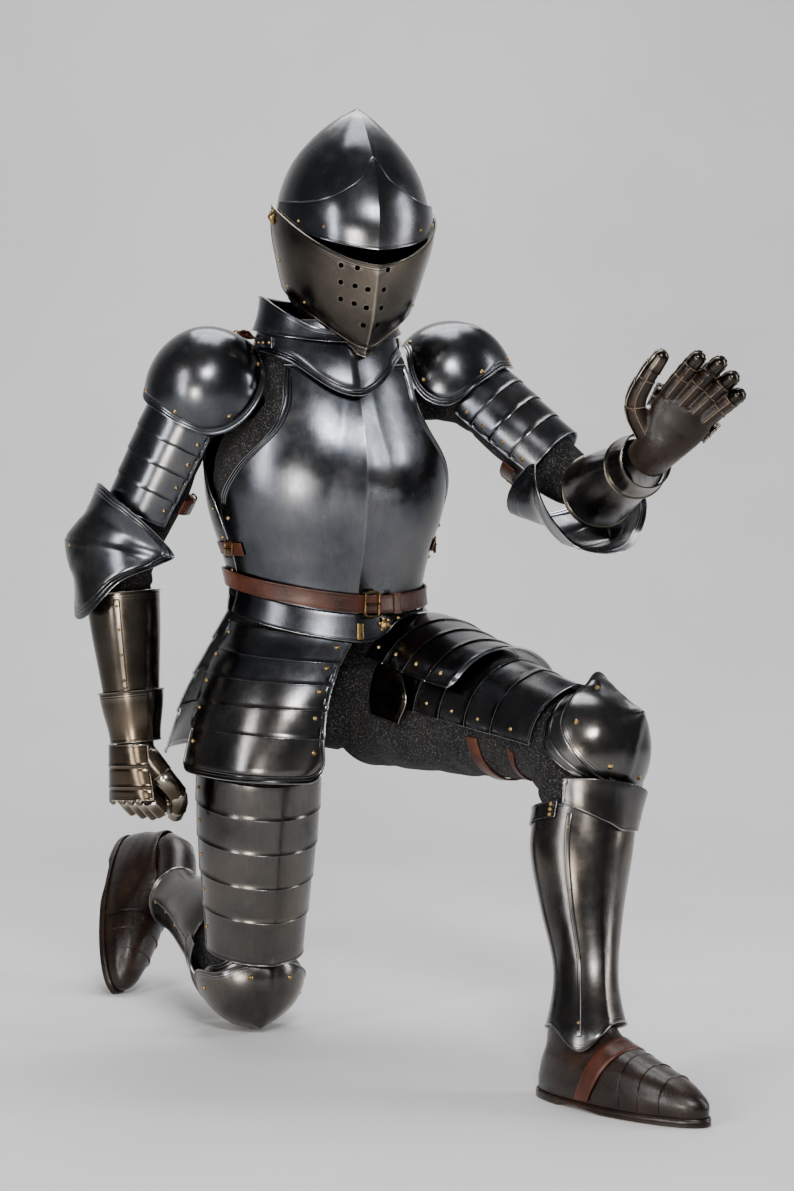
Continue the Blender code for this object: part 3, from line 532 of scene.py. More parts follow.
def ramp(tree, value, stops):
    """A run of colours over a value; each stop is its place and its colour."""
    made = add_node(tree, "ShaderNodeValToRGB", Fac=value)
    while len(made.color_ramp.elements) < len(stops):
        made.color_ramp.elements.new(0.5)
    for element, (place, colour) in zip(made.color_ramp.elements, stops):
        element.position = place
        element.color = (*colour, 1) if len(colour) == 3 else colour
    return made.outputs["Color"]


def mixed(tree, share, first, second, blend="MIX"):
    """Two colours mixed by a share; 0, 6, 7 and 2 are the mix node's sockets for colours."""
    made = add_node(tree, "ShaderNodeMix", {"data_type": "RGBA", "blend_type": blend})
    connect(tree, made, {0: share, 6: first, 7: second})
    return made.outputs[2]


def grey(value):
    return (value, value, value)


def wear_and_highlight(tree, start, strong, most):
    """How far an edge is worn bright, with a painted highlight on it, from the point's own sharpness."""
    edges = add_node(tree, "ShaderNodeNewGeometry").outputs["Pointiness"]
    return ramp(tree, edges, ((start, grey(0.0)), (strong, grey(most))))


def dark_corners(tree, start, end):
    """Darker in the hollows of a piece, from the point's own sharpness."""
    edges = add_node(tree, "ShaderNodeNewGeometry").outputs["Pointiness"]
    return ramp(tree, edges, ((start, grey(0.18)), (end, grey(1.0))))


def bumps(tree, shader, layers):
    """Stack bump maps; each layer is its height, its strength and its depth in metres."""
    normal = None
    for height, strength, depth in layers:
        made = add_node(tree, "ShaderNodeBump", Height=height, Strength=strength, Distance=depth)
        if normal is not None:
            tree.links.new(normal, made.inputs["Normal"])
        normal = made.outputs["Normal"]
    tree.links.new(normal, shader.inputs["Normal"])


print("helpers for node trees ready")


# %% Steel, in its blue-grey and brown tones
FLOOR_REFLECTION_FROM, FLOOR_REFLECTION_TO = -0.02, -0.30      # painted warm reflection of the floor, from this height down to the legs
FLOOR_REFLECTION_TINT = (1.10, 0.96, 0.80, 1)


def steel_finish(name, slot, dark, mid, light, tint, roughness):
    _, tree, shader = new_finish(name, slot)
    fire = grain(tree, 7.0, 5.0)
    brushed = grain(tree, 260.0, 3.0, stretch=(1.0, 1.0, 0.06))
    scratch = grain(tree, 900.0, 2.0, stretch=(0.06, 0.06, 1.0))
    cool = ramp(tree, fire, ((0.28, dark), (0.50, mid), (0.72, tint)))
    # painted reflection: lower down the suit the colour is tinted warm, standing in for the warm floor
    # reflected in the steel
    height = add_node(tree, "ShaderNodeSeparateXYZ",
                      Vector=add_node(tree, "ShaderNodeTexCoord").outputs["Object"]).outputs["Z"]
    low = add_node(tree, "ShaderNodeMapRange", Value=height, From_Min=FLOOR_REFLECTION_FROM, From_Max=FLOOR_REFLECTION_TO)
    warm = mixed(tree, low.outputs["Result"], cool, mixed(tree, 1.0, cool, FLOOR_REFLECTION_TINT, "MULTIPLY"))
    streaks = ramp(tree, brushed, ((0.3, grey(0.30)), (0.7, grey(0.62))))
    streaked = mixed(tree, 0.22, warm, streaks, "OVERLAY")
    # painted highlight: sharp edges are mixed towards the light colour, partly as wear and partly as a
    # highlight
    bright = mixed(tree, wear_and_highlight(tree, 0.525, 0.60, 0.85), streaked, (*light, 1))
    hollows_darkened = mixed(tree, 1.0, bright, dark_corners(tree, 0.42, 0.485), "MULTIPLY")
    gloss = ((0.30, grey(roughness - 0.06)), (0.72, grey(roughness + 0.10)))
    connect(tree, shader, {"Base Color": hollows_darkened, "Metallic": 1.0,
                           "Roughness": ramp(tree, grain(tree, 22.0, 6.0), gloss)})
    bumps(tree, shader, ((grain(tree, 16.0, 2.0), 0.25, 0.0016), (brushed, 0.12, 0.0004),
                         (scratch, 0.06, 0.0003)))


steel_finish("blued_steel", "steel", (0.036, 0.039, 0.046), (0.080, 0.085, 0.096), (0.42, 0.43, 0.45),
             (0.124, 0.119, 0.115), 0.22)
steel_finish("browned_steel", "brown_steel", (0.030, 0.026, 0.021), (0.073, 0.063, 0.053),
             (0.44, 0.40, 0.34), (0.130, 0.107, 0.084), 0.21)
print("steel finishes:", ", ".join(FINISHES))

# %% [markdown]
# ## Brass, leather and cloth
#
# Rivet heads are aged brass: yellow where they are rubbed and nearly black in the corners. Strap
# leather is red-brown with a dark cut edge and a fine pebbled grain. Shoe and glove leather is
# darker and waxed, so it shines over its creases. The arming cloth is thick charcoal felt: matt,
# with short pale and dark fibres that show as specks.

# %% Brass and leather
def brass_finish():
    _, tree, shader = new_finish("aged_brass", "brass")
    tone = ramp(tree, grain(tree, 120.0, 4.0), ((0.3, (0.19, 0.115, 0.045)), (0.7, (0.46, 0.31, 0.13))))
    hollows_darkened = mixed(tree, 1.0, tone, dark_corners(tree, 0.42, 0.50), "MULTIPLY")
    rub = ramp(tree, grain(tree, 300.0, 3.0), ((0.3, grey(0.22)), (0.7, grey(0.42))))
    connect(tree, shader, {"Base Color": hollows_darkened, "Metallic": 1.0, "Roughness": rub})
    bumps(tree, shader, ((grain(tree, 500.0, 2.0), 0.15, 0.0003),))


def leather_finish(name, slot, dark, mid, light, roughness, pebble, coat):
    _, tree, shader = new_finish(name, slot)
    slow = grain(tree, 18.0, 6.0)
    place = add_node(tree, "ShaderNodeTexCoord")
    pores = add_node(tree, "ShaderNodeTexVoronoi", {"feature": "DISTANCE_TO_EDGE"},
                     Vector=place.outputs["Object"], Scale=pebble).outputs["Distance"]
    tone = ramp(tree, slow, ((0.28, dark), (0.52, mid), (0.74, light)))
    lines = ramp(tree, pores, ((0.0, grey(0.45)), (0.16, grey(1.0))))
    pebbled = mixed(tree, 0.6, tone, lines, "MULTIPLY")
    # painted highlight: sharp edges are mixed towards the light colour, partly as wear and partly as a
    # highlight
    base = mixed(tree, wear_and_highlight(tree, 0.54, 0.64, 0.6), pebbled, (*light, 1))
    gloss = ((0.3, grey(roughness - 0.08)), (0.7, grey(roughness + 0.14)))
    connect(tree, shader, {"Base Color": base, "Roughness": ramp(tree, grain(tree, 40.0, 5.0), gloss),
                           "Specular IOR Level": 0.24, "Coat Weight": coat, "Coat Roughness": 0.25})
    bumps(tree, shader, ((grain(tree, 60.0, 5.0), 0.26, 0.0012), (lines, 0.30, 0.0003)))


brass_finish()
leather_finish("strap_hide", "strap_leather", (0.016, 0.0045, 0.0022), (0.052, 0.013, 0.0058),
               (0.13, 0.038, 0.017), 0.30, 1100.0, 0.12)
leather_finish("shoe_hide", "shoe_leather", (0.0036, 0.0018, 0.0011), (0.011, 0.0053, 0.0032),
               (0.034, 0.017, 0.010), 0.22, 1300.0, 0.22)
leather_finish("glove_hide", "glove_leather", (0.0048, 0.0026, 0.0016), (0.015, 0.0082, 0.0050),
               (0.046, 0.026, 0.016), 0.28, 1500.0, 0.10)


# %% Felt and thread
def felt_finish():
    _, tree, shader = new_finish("arming_felt", "arming_cloth")
    fibres = grain(tree, 1500.0, 4.0, stretch=(1.0, 0.55, 0.8))
    specks = ramp(tree, grain(tree, 430.0, 3.0, roughness=0.6), ((0.54, grey(0.0)), (0.70, grey(1.0))))
    slow = ramp(tree, grain(tree, 14.0, 4.0),
                ((0.3, (0.0045, 0.0045, 0.0048)), (0.7, (0.014, 0.0135, 0.0135))))
    speckled = mixed(tree, specks, slow, (0.105, 0.102, 0.100, 1))
    connect(tree, shader, {"Base Color": speckled, "Roughness": 0.95, "Specular IOR Level": 0.12,
                           "Sheen Weight": 0.10, "Sheen Roughness": 0.5, "Sheen Tint": (0.30, 0.30, 0.32, 1)})
    bumps(tree, shader, ((grain(tree, 90.0, 4.0), 0.5, 0.0016), (fibres, 0.7, 0.0009)))


def thread_finish():
    _, tree, shader = new_finish("waxed_thread", "glove_leather")
    tone = ramp(tree, grain(tree, 400.0, 3.0), ((0.3, (0.10, 0.060, 0.035)), (0.7, (0.22, 0.15, 0.095))))
    connect(tree, shader, {"Base Color": tone, "Roughness": 0.6})
    bumps(tree, shader, ((grain(tree, 2500.0, 2.0), 0.5, 0.0002),))


felt_finish()
thread_finish()
print("finishes:", ", ".join(FINISHES))

# %% [markdown]
# ## Rivets, buckles and straps
#
# Rivets hold the lames to hidden leathers and are the only bright colour on the steel. Each head is
# a low dome with a small step round it, turned out along the plate it sits in. A buckle is a bent
# rod with a tongue across it. Both are used all over the suit, so each is a small function.

# %% Rivet heads
HEAD_PROFILE = ((1.00, -0.12), (1.00, 0.10), (0.80, 0.24), (0.72, 0.46), (0.46, 0.68), (0.20, 0.78))
HEAD_TOP = 0.80
RIVET = {"knee": 0.0036, "large": 0.0034, "plate": 0.0032, "lame": 0.0030, "helmet": 0.0026,
         "visor": 0.0025, "small": 0.0024, "seam": 0.0022}


def square_axes(out):
    """Two directions square to one."""
    first = out.orthogonal().normalized()
    return first, out.cross(first)


def add_head(mesh, point, out, radius, sides=12):
    first, second = square_axes(out)
    around = [first * cos(2 * pi * k / sides) + second * sin(2 * pi * k / sides) for k in range(sides)]
    rings = add_bands(mesh, [[point + out * height * radius + way_out * reach * radius for way_out in around]
                             for reach, height in HEAD_PROFILE])
    top = mesh.verts.new(point + out * HEAD_TOP * radius)
    for k in range(sides):
        mesh.faces.new((rings[-1][k], rings[-1][(k + 1) % sides], top))
    mesh.faces.new(rings[0][::-1])


def rivets(name, spots, kind="plate", body="suit"):
    """A set of rivet heads; each spot is a point and the way out."""
    mesh = bmesh.new()
    for point, out in spots:
        add_head(mesh, point, out, RIVET[kind])
    return place_object(name, mesh, "aged_brass", body, sharp=50)


def rivets_on(name, face, places, lift=0.0, kind="plate", body="suit"):
    """Rivets at places on a sheet, each given across it and along it."""
    return rivets(name, [spot(face, across, along, lift) for across, along in places], kind, body)


def crossings(columns, rows):
    """Every pair of a place across and a place along."""
    return [(across, along) for across in columns for along in rows]


# %% Rods, for buckles, rings and cords
def add_rod(mesh, points, radius, closed=False, sides=8, up=None):
    """A rod through points; its radius is one number, or one for each point."""
    count = len(points)
    rings = []
    for i, point in enumerate(points):
        ahead = points[(i + 1) % count] if closed else points[min(i + 1, count - 1)]
        behind = points[i - 1] if closed or i else points[0]
        tangent = (ahead - behind).normalized()
        top = (up - up.project(tangent)).normalized() if up else tangent.orthogonal().normalized()
        across = tangent.cross(top)
        size = radius[i] if isinstance(radius, (list, tuple)) else radius
        rings.append([point + (across * cos(2 * pi * k / sides) + top * sin(2 * pi * k / sides)) * size
                      for k in range(sides)])
    if closed:
        add_bands(mesh, rings, looped=True)
    else:
        add_tube(mesh, rings)


def rounded_frame(centre, across, along, width, length, corner, step=4):
    """The path of a bent frame with round corners."""
    path = []
    for turn, (sx, sy) in enumerate(((1, 1), (-1, 1), (-1, -1), (1, -1))):
        for k in range(step + 1):
            angle = radians(90 * turn + 90 * k / step)
            x = sx * (width / 2 - corner) + corner * cos(angle)
            y = sy * (length / 2 - corner) + corner * sin(angle)
            path.append(centre + across * x + along * y)
    return path


def buckle(name, strap_face, share, lift, size, turned=1, rod=0.0015, stands_for=()):
    """A frame buckle lying on a strap, at a share of its length; its tongue points along the strap."""
    centre, out = spot(strap_face, share, 0.5, lift)
    along = way(strap_face, share, 0.5, 0) * turned
    across = out.cross(along)
    width, length = size
    mesh = bmesh.new()
    add_rod(mesh, rounded_frame(centre, across, along, width, length, rod * 2.2), rod, closed=True, up=out)
    bar = centre - along * (length / 2 - rod)
    add_rod(mesh, [bar + out * rod * 1.2, centre + out * rod * 1.5, centre + along * (length / 2 + rod * 0.5)
                   + out * rod * 1.4], [rod * 0.9, rod * 0.8, rod * 0.6], up=out)
    return place_object(name, mesh, "aged_brass", stands_for=stands_for, sharp=50)


def strap(name, strap_face, size, lift, wall=STRAP_WALL, **work):
    """A leather strap with cut edges, standing off its form."""
    return plate(name, strap_face, size, "strap_hide", wall, low=CUT_LEATHER, high=CUT_LEATHER,
                 rise=proud(lift), **work)


print("one rivet head has", len(HEAD_PROFILE) * 12 + 1, "points")

# %% [markdown]
# ## The helmet
#
# The helmet is a close helmet: a skull that covers the head down to the nape, a brow plate with a
# point in the middle, and a visor that swings up on one bolt at each temple. The slit to look
# through is nothing but the gap between visor and brow plate. The skull is drawn from its crown
# down to a rim that rises over the face, so it is one sheet with a point at the top. A narrow lame
# inside the nape closes the gap over the collar, and a band under the visor's rim does the same at
# the chin. The band rides on the visor, so that it lifts with it.

# %% Helmet forms
HEAD_RINGS = (      # place along the neck's line, side and front shift, half width, half depth, keel
    (-0.150, 0, 0.020, 0.062, 0.088, 0.010),
    (-0.110, 0, 0.010, 0.082, 0.106, 0.010),
    (-0.060, 0, 0.004, 0.097, 0.121, 0.008),
    (-0.010, 0, 0.000, 0.104, 0.127, 0.007),
    (0.030, 0, -0.002, 0.101, 0.123, 0.006),
    (0.070, 0, -0.006, 0.086, 0.104, 0.005),
    (0.105, 0, -0.012, 0.060, 0.074, 0.004),
    (0.132, 0, -0.018, 0.030, 0.039, 0.003),
    (0.152, 0, -0.022, 0.002, 0.003, 0.000))
VISOR_RINGS = (
    (-0.155, 0, 0.020, 0.062, 0.088, 0.020),
    (-0.110, 0, 0.012, 0.088, 0.112, 0.022),
    (-0.060, 0, 0.006, 0.103, 0.126, 0.018),
    (-0.020, 0, 0.002, 0.112, 0.136, 0.012),
    (0.020, 0, 0.000, 0.1135, 0.136, 0.008))
pitch, roll, yaw = (radians(angle) for angle in HEAD_TILT)
HEAD_TURN = Matrix.Rotation(yaw, 3, "Z") @ Matrix.Rotation(roll, 3, "Y") @ Matrix.Rotation(pitch, 3, "X")
HEAD_UP, HEAD_FRONT, HEAD_LEFT = HEAD_TURN @ UP, HEAD_TURN @ FRONT, HEAD_TURN @ LEFT
head = Form(VISOR_PIVOT, VISOR_PIVOT + HEAD_UP, HEAD_FRONT, HEAD_LEFT, HEAD_RINGS, keel_width=28)
visor_form = Form(VISOR_PIVOT, VISOR_PIVOT + HEAD_UP, HEAD_FRONT, HEAD_LEFT, VISOR_RINGS)
SKULL_RIM = ((-180, -0.126), (-120, -0.114), (-92, -0.100), (-72, -0.030), (-52, 0.010), (0, 0.022),
             (52, 0.010), (72, -0.030), (92, -0.100), (120, -0.120), (180, -0.126))


def skull_face(across, along, lift=0.0):
    angle = -180 + 360 * across
    apex = HEAD_RINGS[-1][0]
    return head.point(angle, apex + (read(SKULL_RIM, angle) - apex) * along ** 0.8, lift)


def comb(across, along):
    """The low ridge that runs over the crown from front to back."""
    height, half_width = 0.0032, 5.0
    turn = abs((across * 360 + 90) % 180 - 90)
    return height * exp(-(turn / half_width) ** 2) * smooth(along * 3) * smooth((0.9 - along) * 4)


plate("skull_plate", skull_face, (116, 34), closed=True, pole=True, high=TURNED, rise=comb,
      stands_for="skull", sharp=30)
nape_face = strip(head, -0.152, -0.112, (98, 262))
plate("nape_lame", nape_face, (60, 5), low=TURNED, high=EASED, side=EASED, rise=proud(-0.0045))

# %% Brow plate and visor
BROW_LOW = ((0, 0.004), (0.5, -0.010), (1, 0.004))
BROW_HIGH = ((0, 0.024), (0.25, 0.046), (0.42, 0.078), (0.5, 0.104), (0.58, 0.078), (0.75, 0.046),
             (1, 0.024))
BROW_LIFT = 0.0058
brow_face = strip(head, BROW_LOW, BROW_HIGH, (-88, 88))
worked("brow_plate", brow_face, (64, 14), low=TURNED, high=TURNED, side=EASED, rise=proud(BROW_LIFT),
       sharp=18)
VISOR_LOW = ((0, -0.100), (0.2, -0.116), (0.5, -0.152), (0.8, -0.116), (1, -0.100))
VISOR_HIGH = ((0, 0.016), (0.12, 0.010), (0.5, -0.028), (0.88, 0.010), (1, 0.016))
visor_face = strip(visor_form, VISOR_LOW, VISOR_HIGH, (-98, 98))
visor = worked("visor", visor_face, (88, 26), "browned_steel", low=TURNED, high=ROLLED, side=TURNED,
               body="visor", sharp=24)
CHIN_LOW = tuple((share, place - 0.012) for share, place in VISOR_LOW)
CHIN_HIGH = tuple((share, place + 0.004) for share, place in VISOR_LOW)
chin_face = strip(visor_form, CHIN_LOW, CHIN_HIGH, (-92, 92))
plate("chin_band", chin_face, (72, 4), "browned_steel", low=TURNED, high=EASED, side=EASED, body="visor",
      rise=proud(-0.0026), sharp=24)
print("the chin band hangs", round((VISOR_LOW[2][1] - CHIN_LOW[2][1]) * 1000), "mm under the visor")

# %% [markdown]
# The breaths are round holes punched beside the visor's keel, most of them on the right, away from
# an opponent's lance. They are real holes: one object holds all the punches, and a Boolean modifier
# takes them out of the plate in one go.

# %% Breaths
BREATHS = (      # angle from the keel, height on the helmet's line
    (-25, -0.036), (-14, -0.036), (8, -0.036),
    (-25, -0.060), (-15, -0.062), (-6, -0.064), (7, -0.064),
    (-25, -0.084), (-15, -0.087), (-6, -0.090), (7, -0.090),
    (-7, -0.116), (6, -0.114))
BREATH_RADIUS = 0.0037


def punches(form, holes, radius):
    """Round punches standing through a form."""
    mesh = bmesh.new()
    for angle, place in holes:
        centre, out = form_spot(form, angle, place)
        turn = UP.rotation_difference(out).to_matrix().to_4x4()
        bmesh.ops.create_cone(mesh, cap_ends=True, segments=16, radius1=radius, radius2=radius, depth=0.02,
                              matrix=Matrix.Translation(centre) @ turn)
    return mesh


def cut_away(made, mesh):
    """Take a mesh out of a piece for good."""
    cutter = new_object("punch", mesh_data("punch", mesh))
    cut = made.modifiers.new("Holes", "BOOLEAN")
    cut.operation = "DIFFERENCE"
    cut.solver = "EXACT"
    cut.object = cutter
    settle(made)
    bpy.data.objects.remove(cutter)


def settle(made, sharp=38):
    """Apply a piece's modifiers, so that its mesh is final."""
    view = bpy.context.evaluated_depsgraph_get()
    view.update()
    final = bpy.data.meshes.new_from_object(made.evaluated_get(view))
    made.modifiers.clear()
    made.data = final
    soften(final, sharp)


cut_away(visor, punches(visor_form, BREATHS, BREATH_RADIUS))
print("breaths punched:", len(BREATHS))

# %% Visor bolts and small helmet fittings
def rosette(name, centre, out, body, stands_for=()):
    """A domed boss with six small knobs round it."""
    boss, knob, spread = 0.0075, 0.0030, 0.0088
    mesh = bmesh.new()
    add_head(mesh, centre, out, boss, 20)
    first, second = square_axes(out)
    for k in range(6):
        angle = radians(60 * k)
        add_head(mesh, centre + (first * cos(angle) + second * sin(angle)) * spread, out, knob, 10)
    return place_object(name, mesh, "aged_brass", body, stands_for, sharp=50)


BOLT_REACH = 0.1150
SKULL_RIVETS = ((112, -0.020), (112, -0.055), (112, -0.090), (140, -0.096), (168, -0.100))
BROW_RIVETS = (0.22, 0.34, 0.45)
VISOR_RIVETS = ((0.40, 0.16), (0.44, 0.40), (0.30, 0.12))
for side, sign in SIGN.items():
    out = HEAD_LEFT * sign
    rosette(f"visor_bolt_{side}", VISOR_PIVOT + out * BOLT_REACH, out, "visor", f"pivot_{side}")
    rivets(f"helmet_rivets_{side}", [form_spot(head, turn * sign, place) for turn, place in SKULL_RIVETS],
           "helmet")
    rivets_on(f"brow_rivets_{side}", brow_face, [(0.5 + sign * share, 0.30) for share in BROW_RIVETS],
              BROW_LIFT, "small")
    rivets_on(f"visor_rivets_{side}", visor_face,
              [(0.5 + sign * share, along) for share, along in VISOR_RIVETS], 0.0, "visor", "visor")
print("rivets on the helmet:", 2 * (len(SKULL_RIVETS) + len(BROW_RIVETS) + len(VISOR_RIVETS)))

# %% [markdown]
# ## The neck
#
# The gorget is a collar of steel that spreads over the chest and back; its front comes down to a
# point over the breastplate. A narrow lame at its top lets the head turn. Two small hinge plates
# with brass rivets join its halves at the sides. The short leather laces at the right shoulder are
# arming points: they tie the shoulder's steel to the doublet.

# %% Gorget
NECK_RINGS = (
    (0.260, 0, 0, 0.126, 0.114, 0.010),
    (0.300, 0, 0, 0.118, 0.105, 0.010),
    (0.330, 0, 0, 0.105, 0.095, 0.008),
    (0.355, 0, 0, 0.101, 0.082, 0.005),
    (0.385, 0, 0, 0.092, 0.078, 0.002),
    (0.415, 0, 0, 0.089, 0.078, 0.000))
NECK_AXIS = Vector((-0.007, -0.018, 0))
neck = Form(NECK_AXIS, NECK_AXIS + UP, FRONT, LEFT, NECK_RINGS)
GORGET_LOW = ((0, 0.334), (0.25, 0.334), (0.375, 0.318), (0.5, 0.272), (0.625, 0.318), (0.75, 0.334),
              (1, 0.334))
gorget_face = strip(neck, GORGET_LOW, 0.378, ALL_ROUND)
plate("gorget_plate", gorget_face, (112, 10), low=LINED, high=TURNED, closed=True, stands_for="gorget")
LAME_LOW = ((0, 0.366), (0.25, 0.362), (0.5, 0.346), (0.75, 0.362), (1, 0.366))
LAME_HIGH = ((0, 0.404), (0.25, 0.410), (0.36, 0.386), (0.44, 0.366), (0.56, 0.366), (0.64, 0.380),
             (0.75, 0.400), (1, 0.404))
neck_lame_face = strip(neck, LAME_LOW, LAME_HIGH, ALL_ROUND)
worked("neck_lame", neck_lame_face, (96, 4), low=TURNED, high=ROLLED, closed=True,
       rise=lambda across, along: 0.0070 - 0.0018 * along)
HINGE_LIFT = 0.0026
for side, sign in SIGN.items():
    middle = 0.5 + 0.22 * sign
    hinge_face = strip(neck, 0.3385, 0.3530, (360 * (middle - 0.5) - 15, 360 * (middle - 0.5) + 15))
    plate(f"gorget_hinge_{side}", hinge_face, (10, 3), **ALL_EASED, rise=proud(HINGE_LIFT))
    rivets_on(f"gorget_rivets_{side}", hinge_face, crossings((0.12, 0.38, 0.62, 0.88), (0.5,)), HINGE_LIFT,
              "small")

# %% Arming points at the right shoulder
LACE_RADIUS = 0.0017
rng = random.Random(5)
mesh = bmesh.new()
for strand in range(7):
    start = Vector((-0.104, 0.006 + 0.004 * strand, 0.352))
    lean = Vector((-0.034 - 0.004 * (strand % 3), rng.uniform(-0.012, 0.008), rng.uniform(-0.020, 0.006)))
    points = [start + lean * t + Vector((0, 0, 0.010 * sin(pi * t) * rng.uniform(0.6, 1.3))) for t in
              (0, 0.25, 0.5, 0.75, 1.0)]
    add_rod(mesh, points, LACE_RADIUS, sides=6)
laces = place_object("arming_points", mesh, "strap_hide")
print("the laces have", len(laces.data.polygons), "faces")

# %% [markdown]
# ## Breastplate, backplate and skirt
#
# The breastplate has a keel down the middle that turns a blow aside, and its armholes carry three
# beads side by side. Below the belt a short flared lame, the fauld, carries the tassets that hang
# over the thighs; the culet is its longer partner at the back. The trunk is one form for all of
# them, so every piece meets the next.

# %% Trunk form and the two big plates
TRUNK_RINGS = (
    (-0.060, 0, 0, 0.147, 0.114, 0.010),
    (-0.030, 0, 0, 0.142, 0.110, 0.012),
    (0.000, 0, 0, 0.139, 0.108, 0.014),
    (0.050, 0, 0, 0.150, 0.116, 0.018),
    (0.100, 0, 0, 0.167, 0.126, 0.021),
    (0.150, 0, 0, 0.176, 0.132, 0.021),
    (0.200, 0, 0, 0.174, 0.131, 0.018),
    (0.250, 0, 0, 0.160, 0.122, 0.012),
    (0.300, 0, 0, 0.140, 0.106, 0.006),
    (0.340, 0, 0, 0.120, 0.085, 0.003))
WAIST_LINE = ((-180, 0.012), (-90, 0.019), (0, -0.013), (90, -0.007), (180, 0.012))
trunk = Form(Vector(), UP, FRONT, LEFT, TRUNK_RINGS, keel_width=60)


def waist(offset, start, end):
    """The waist line's height by share across an arc, moved up by an offset."""
    return [(i / 8, read(WAIST_LINE, (start + (end - start) * i / 8 + 180) % 360 - 180) + offset)
            for i in range(9)]


BREAST_SIDES = ((-0.03, -77, 77), (0.12, -77, 77), (0.17, -64, 64), (0.22, -46, 46), (0.26, -40, 40),
                (0.30, -42, 42))
BACK_SIDES = ((-0.03, 80, 280), (0.10, 80, 280), (0.16, 92, 268), (0.22, 112, 248), (0.325, 118, 242))
UNDER_BELT, BREAST_TOP, BACK_TOP = -0.014, 0.316, 0.334
breast_face = strip(trunk, waist(UNDER_BELT, -77, 77), BREAST_TOP, BREAST_SIDES)
back_face = strip(trunk, waist(UNDER_BELT, 80, 280), BACK_TOP, BACK_SIDES)


def armhole_only(along):
    """Side edges are plain up to the armpit and beaded round the armhole."""
    armpit, run = 0.36, 0.10
    return smooth((along - armpit) / run)


def breast_keel(across, along):
    """A crisp ridge down the middle, flattened towards the belt and the neck."""
    height, half_width = 0.0050, 0.11
    fade = smooth(along * 4) * smooth((1 - along) * 4)
    return height * max(0.0, 1 - abs(across - 0.5) / half_width) ** 1.3 * fade


worked("breastplate", breast_face, (76, 40), side=BEADED, low=EASED, high=ROLLED, fade=armhole_only,
       rise=breast_keel, sharp=9)
worked("backplate", back_face, (64, 32), side=BEADED, low=EASED, high=ROLLED, fade=armhole_only, sharp=30)

# %% Rivets and side straps of the cuirass
rivets("breast_rivets", [spot(breast_face, across, along) for along in (0.06, 0.20, 0.33)
                         for across in (0.035, 0.965)])
rivets_on("back_rivets", back_face, crossings((0.03, 0.97), (0.08, 0.22, 0.34)))
for side, angles in (("right", (-97, -66)), ("left", (66, 97))):
    strap_face = strip(trunk, 0.052, 0.070, angles)
    strap(f"cuirass_strap_{side}", strap_face, (20, 4), 0.0032, side=EASED)
    buckle(f"cuirass_buckle_{side}", strap_face, 0.60 if side == "right" else 0.40, 0.0042,
           (0.023, 0.017), -SIGN[side])
for side, angles in (("right", (-152, -120)), ("left", (120, 152))):
    shoulder_face = strip(trunk, 0.31, 0.32, angles)
    rivets_on(f"shoulder_rivets_{side}", shoulder_face, crossings((0.2, 0.8), (0.5,)))
print("straps and rivets of the cuirass made")

# %% Belt, with its buckle, keeper and hanging tip
BELT_HALF, BUCKLE_TURN = 0.0125, 8
belt_face = strip(trunk, waist(-BELT_HALF, *ALL_ROUND), waist(BELT_HALF, *ALL_ROUND), ALL_ROUND)
strap("waist_belt_leather", belt_face, (160, 6), 0.0066, LEATHER_WALL, closed=True, stands_for="waist_belt")
buckle("belt_buckle_frame", belt_face, 0.5 + BUCKLE_TURN / 360, 0.0076, (0.034, 0.024), rod=0.0019,
       stands_for="belt_buckle")
for name, angles, half, columns, lift in (("belt_tip", (12, 42), 0.0118, 24, 0.0092),
                                          ("belt_keeper", (22, 27), 0.0150, 6, 0.0112)):
    arc = strip(trunk, waist(-half, *angles), waist(half, *angles), angles)
    strap(name, arc, (columns, 6), lift, side=EASED)
print("belt is", round(row_length([belt_face(i / 60, 0.5) for i in range(61)]), 2), "m long")

# %% Fauld and culet
FAULD_LOW = ((0, -0.026), (0.3, -0.052), (0.5, -0.066), (0.57, -0.062), (0.65, -0.040), (0.73, -0.031),
             (1, -0.036))
BELT_EDGE = -0.0152
fauld_face = strip(trunk, FAULD_LOW, waist(BELT_EDGE, -84, 84), (-84, 84))
worked("fauld", fauld_face, (72, 8), low=TURNED, high=EASED, side=EASED, rise=flared(0.0055))
CULET_RINGS = (
    (-0.240, -0.040, 0, 0.196, 0.160),
    (-0.150, -0.020, 0, 0.188, 0.146),
    (-0.085, -0.006, 0, 0.168, 0.130),
    (-0.028, 0.000, 0, 0.142, 0.110))
culet_form = Form(Vector(), UP, FRONT, LEFT, CULET_RINGS)
CULET_SIDES = ((-0.225, 140, 264), (-0.12, 110, 264), (-0.028, 97, 264))
CULET_STEPS = (-0.225, -0.168, -0.116, -0.066)
sheets = []
for low, high in zip(CULET_STEPS, CULET_STEPS[1:] + (None,)):
    top = waist(BELT_EDGE, 97, 264) if high is None else high + 0.006
    face = strip(culet_form, low, top, CULET_SIDES)
    sheets.append(sheet_rows(face, (48, 4), low=ROLLED if low == CULET_STEPS[0] else TURNED, high=EASED,
                             side=TURNED, rise=flared(0.0030)))
skin("culet_lames", sheets, STEEL_WALL, "blued_steel", stands_for="culet")
culet_spots = []
for low in CULET_STEPS[1:]:
    face = strip(culet_form, low - 0.012, low + 0.02, CULET_SIDES)
    culet_spots += [spot(face, across, 0.35) for across in (0.10, 0.5, 0.90)]
rivets("culet_rivets", culet_spots)
print("culet lames:", len(sheets))

# %% [markdown]
# ## Tassets
#
# A tasset is a stack of lames that slide over each other as the thigh moves. The right one hangs
# straight down over the kneeling thigh; the left one lies along the raised thigh like a saddle. Each
# lame flares a little at its lower edge so that it rides over the next. A rosette and a brass clasp
# on the fauld show where the tassets' hidden leathers are fastened.

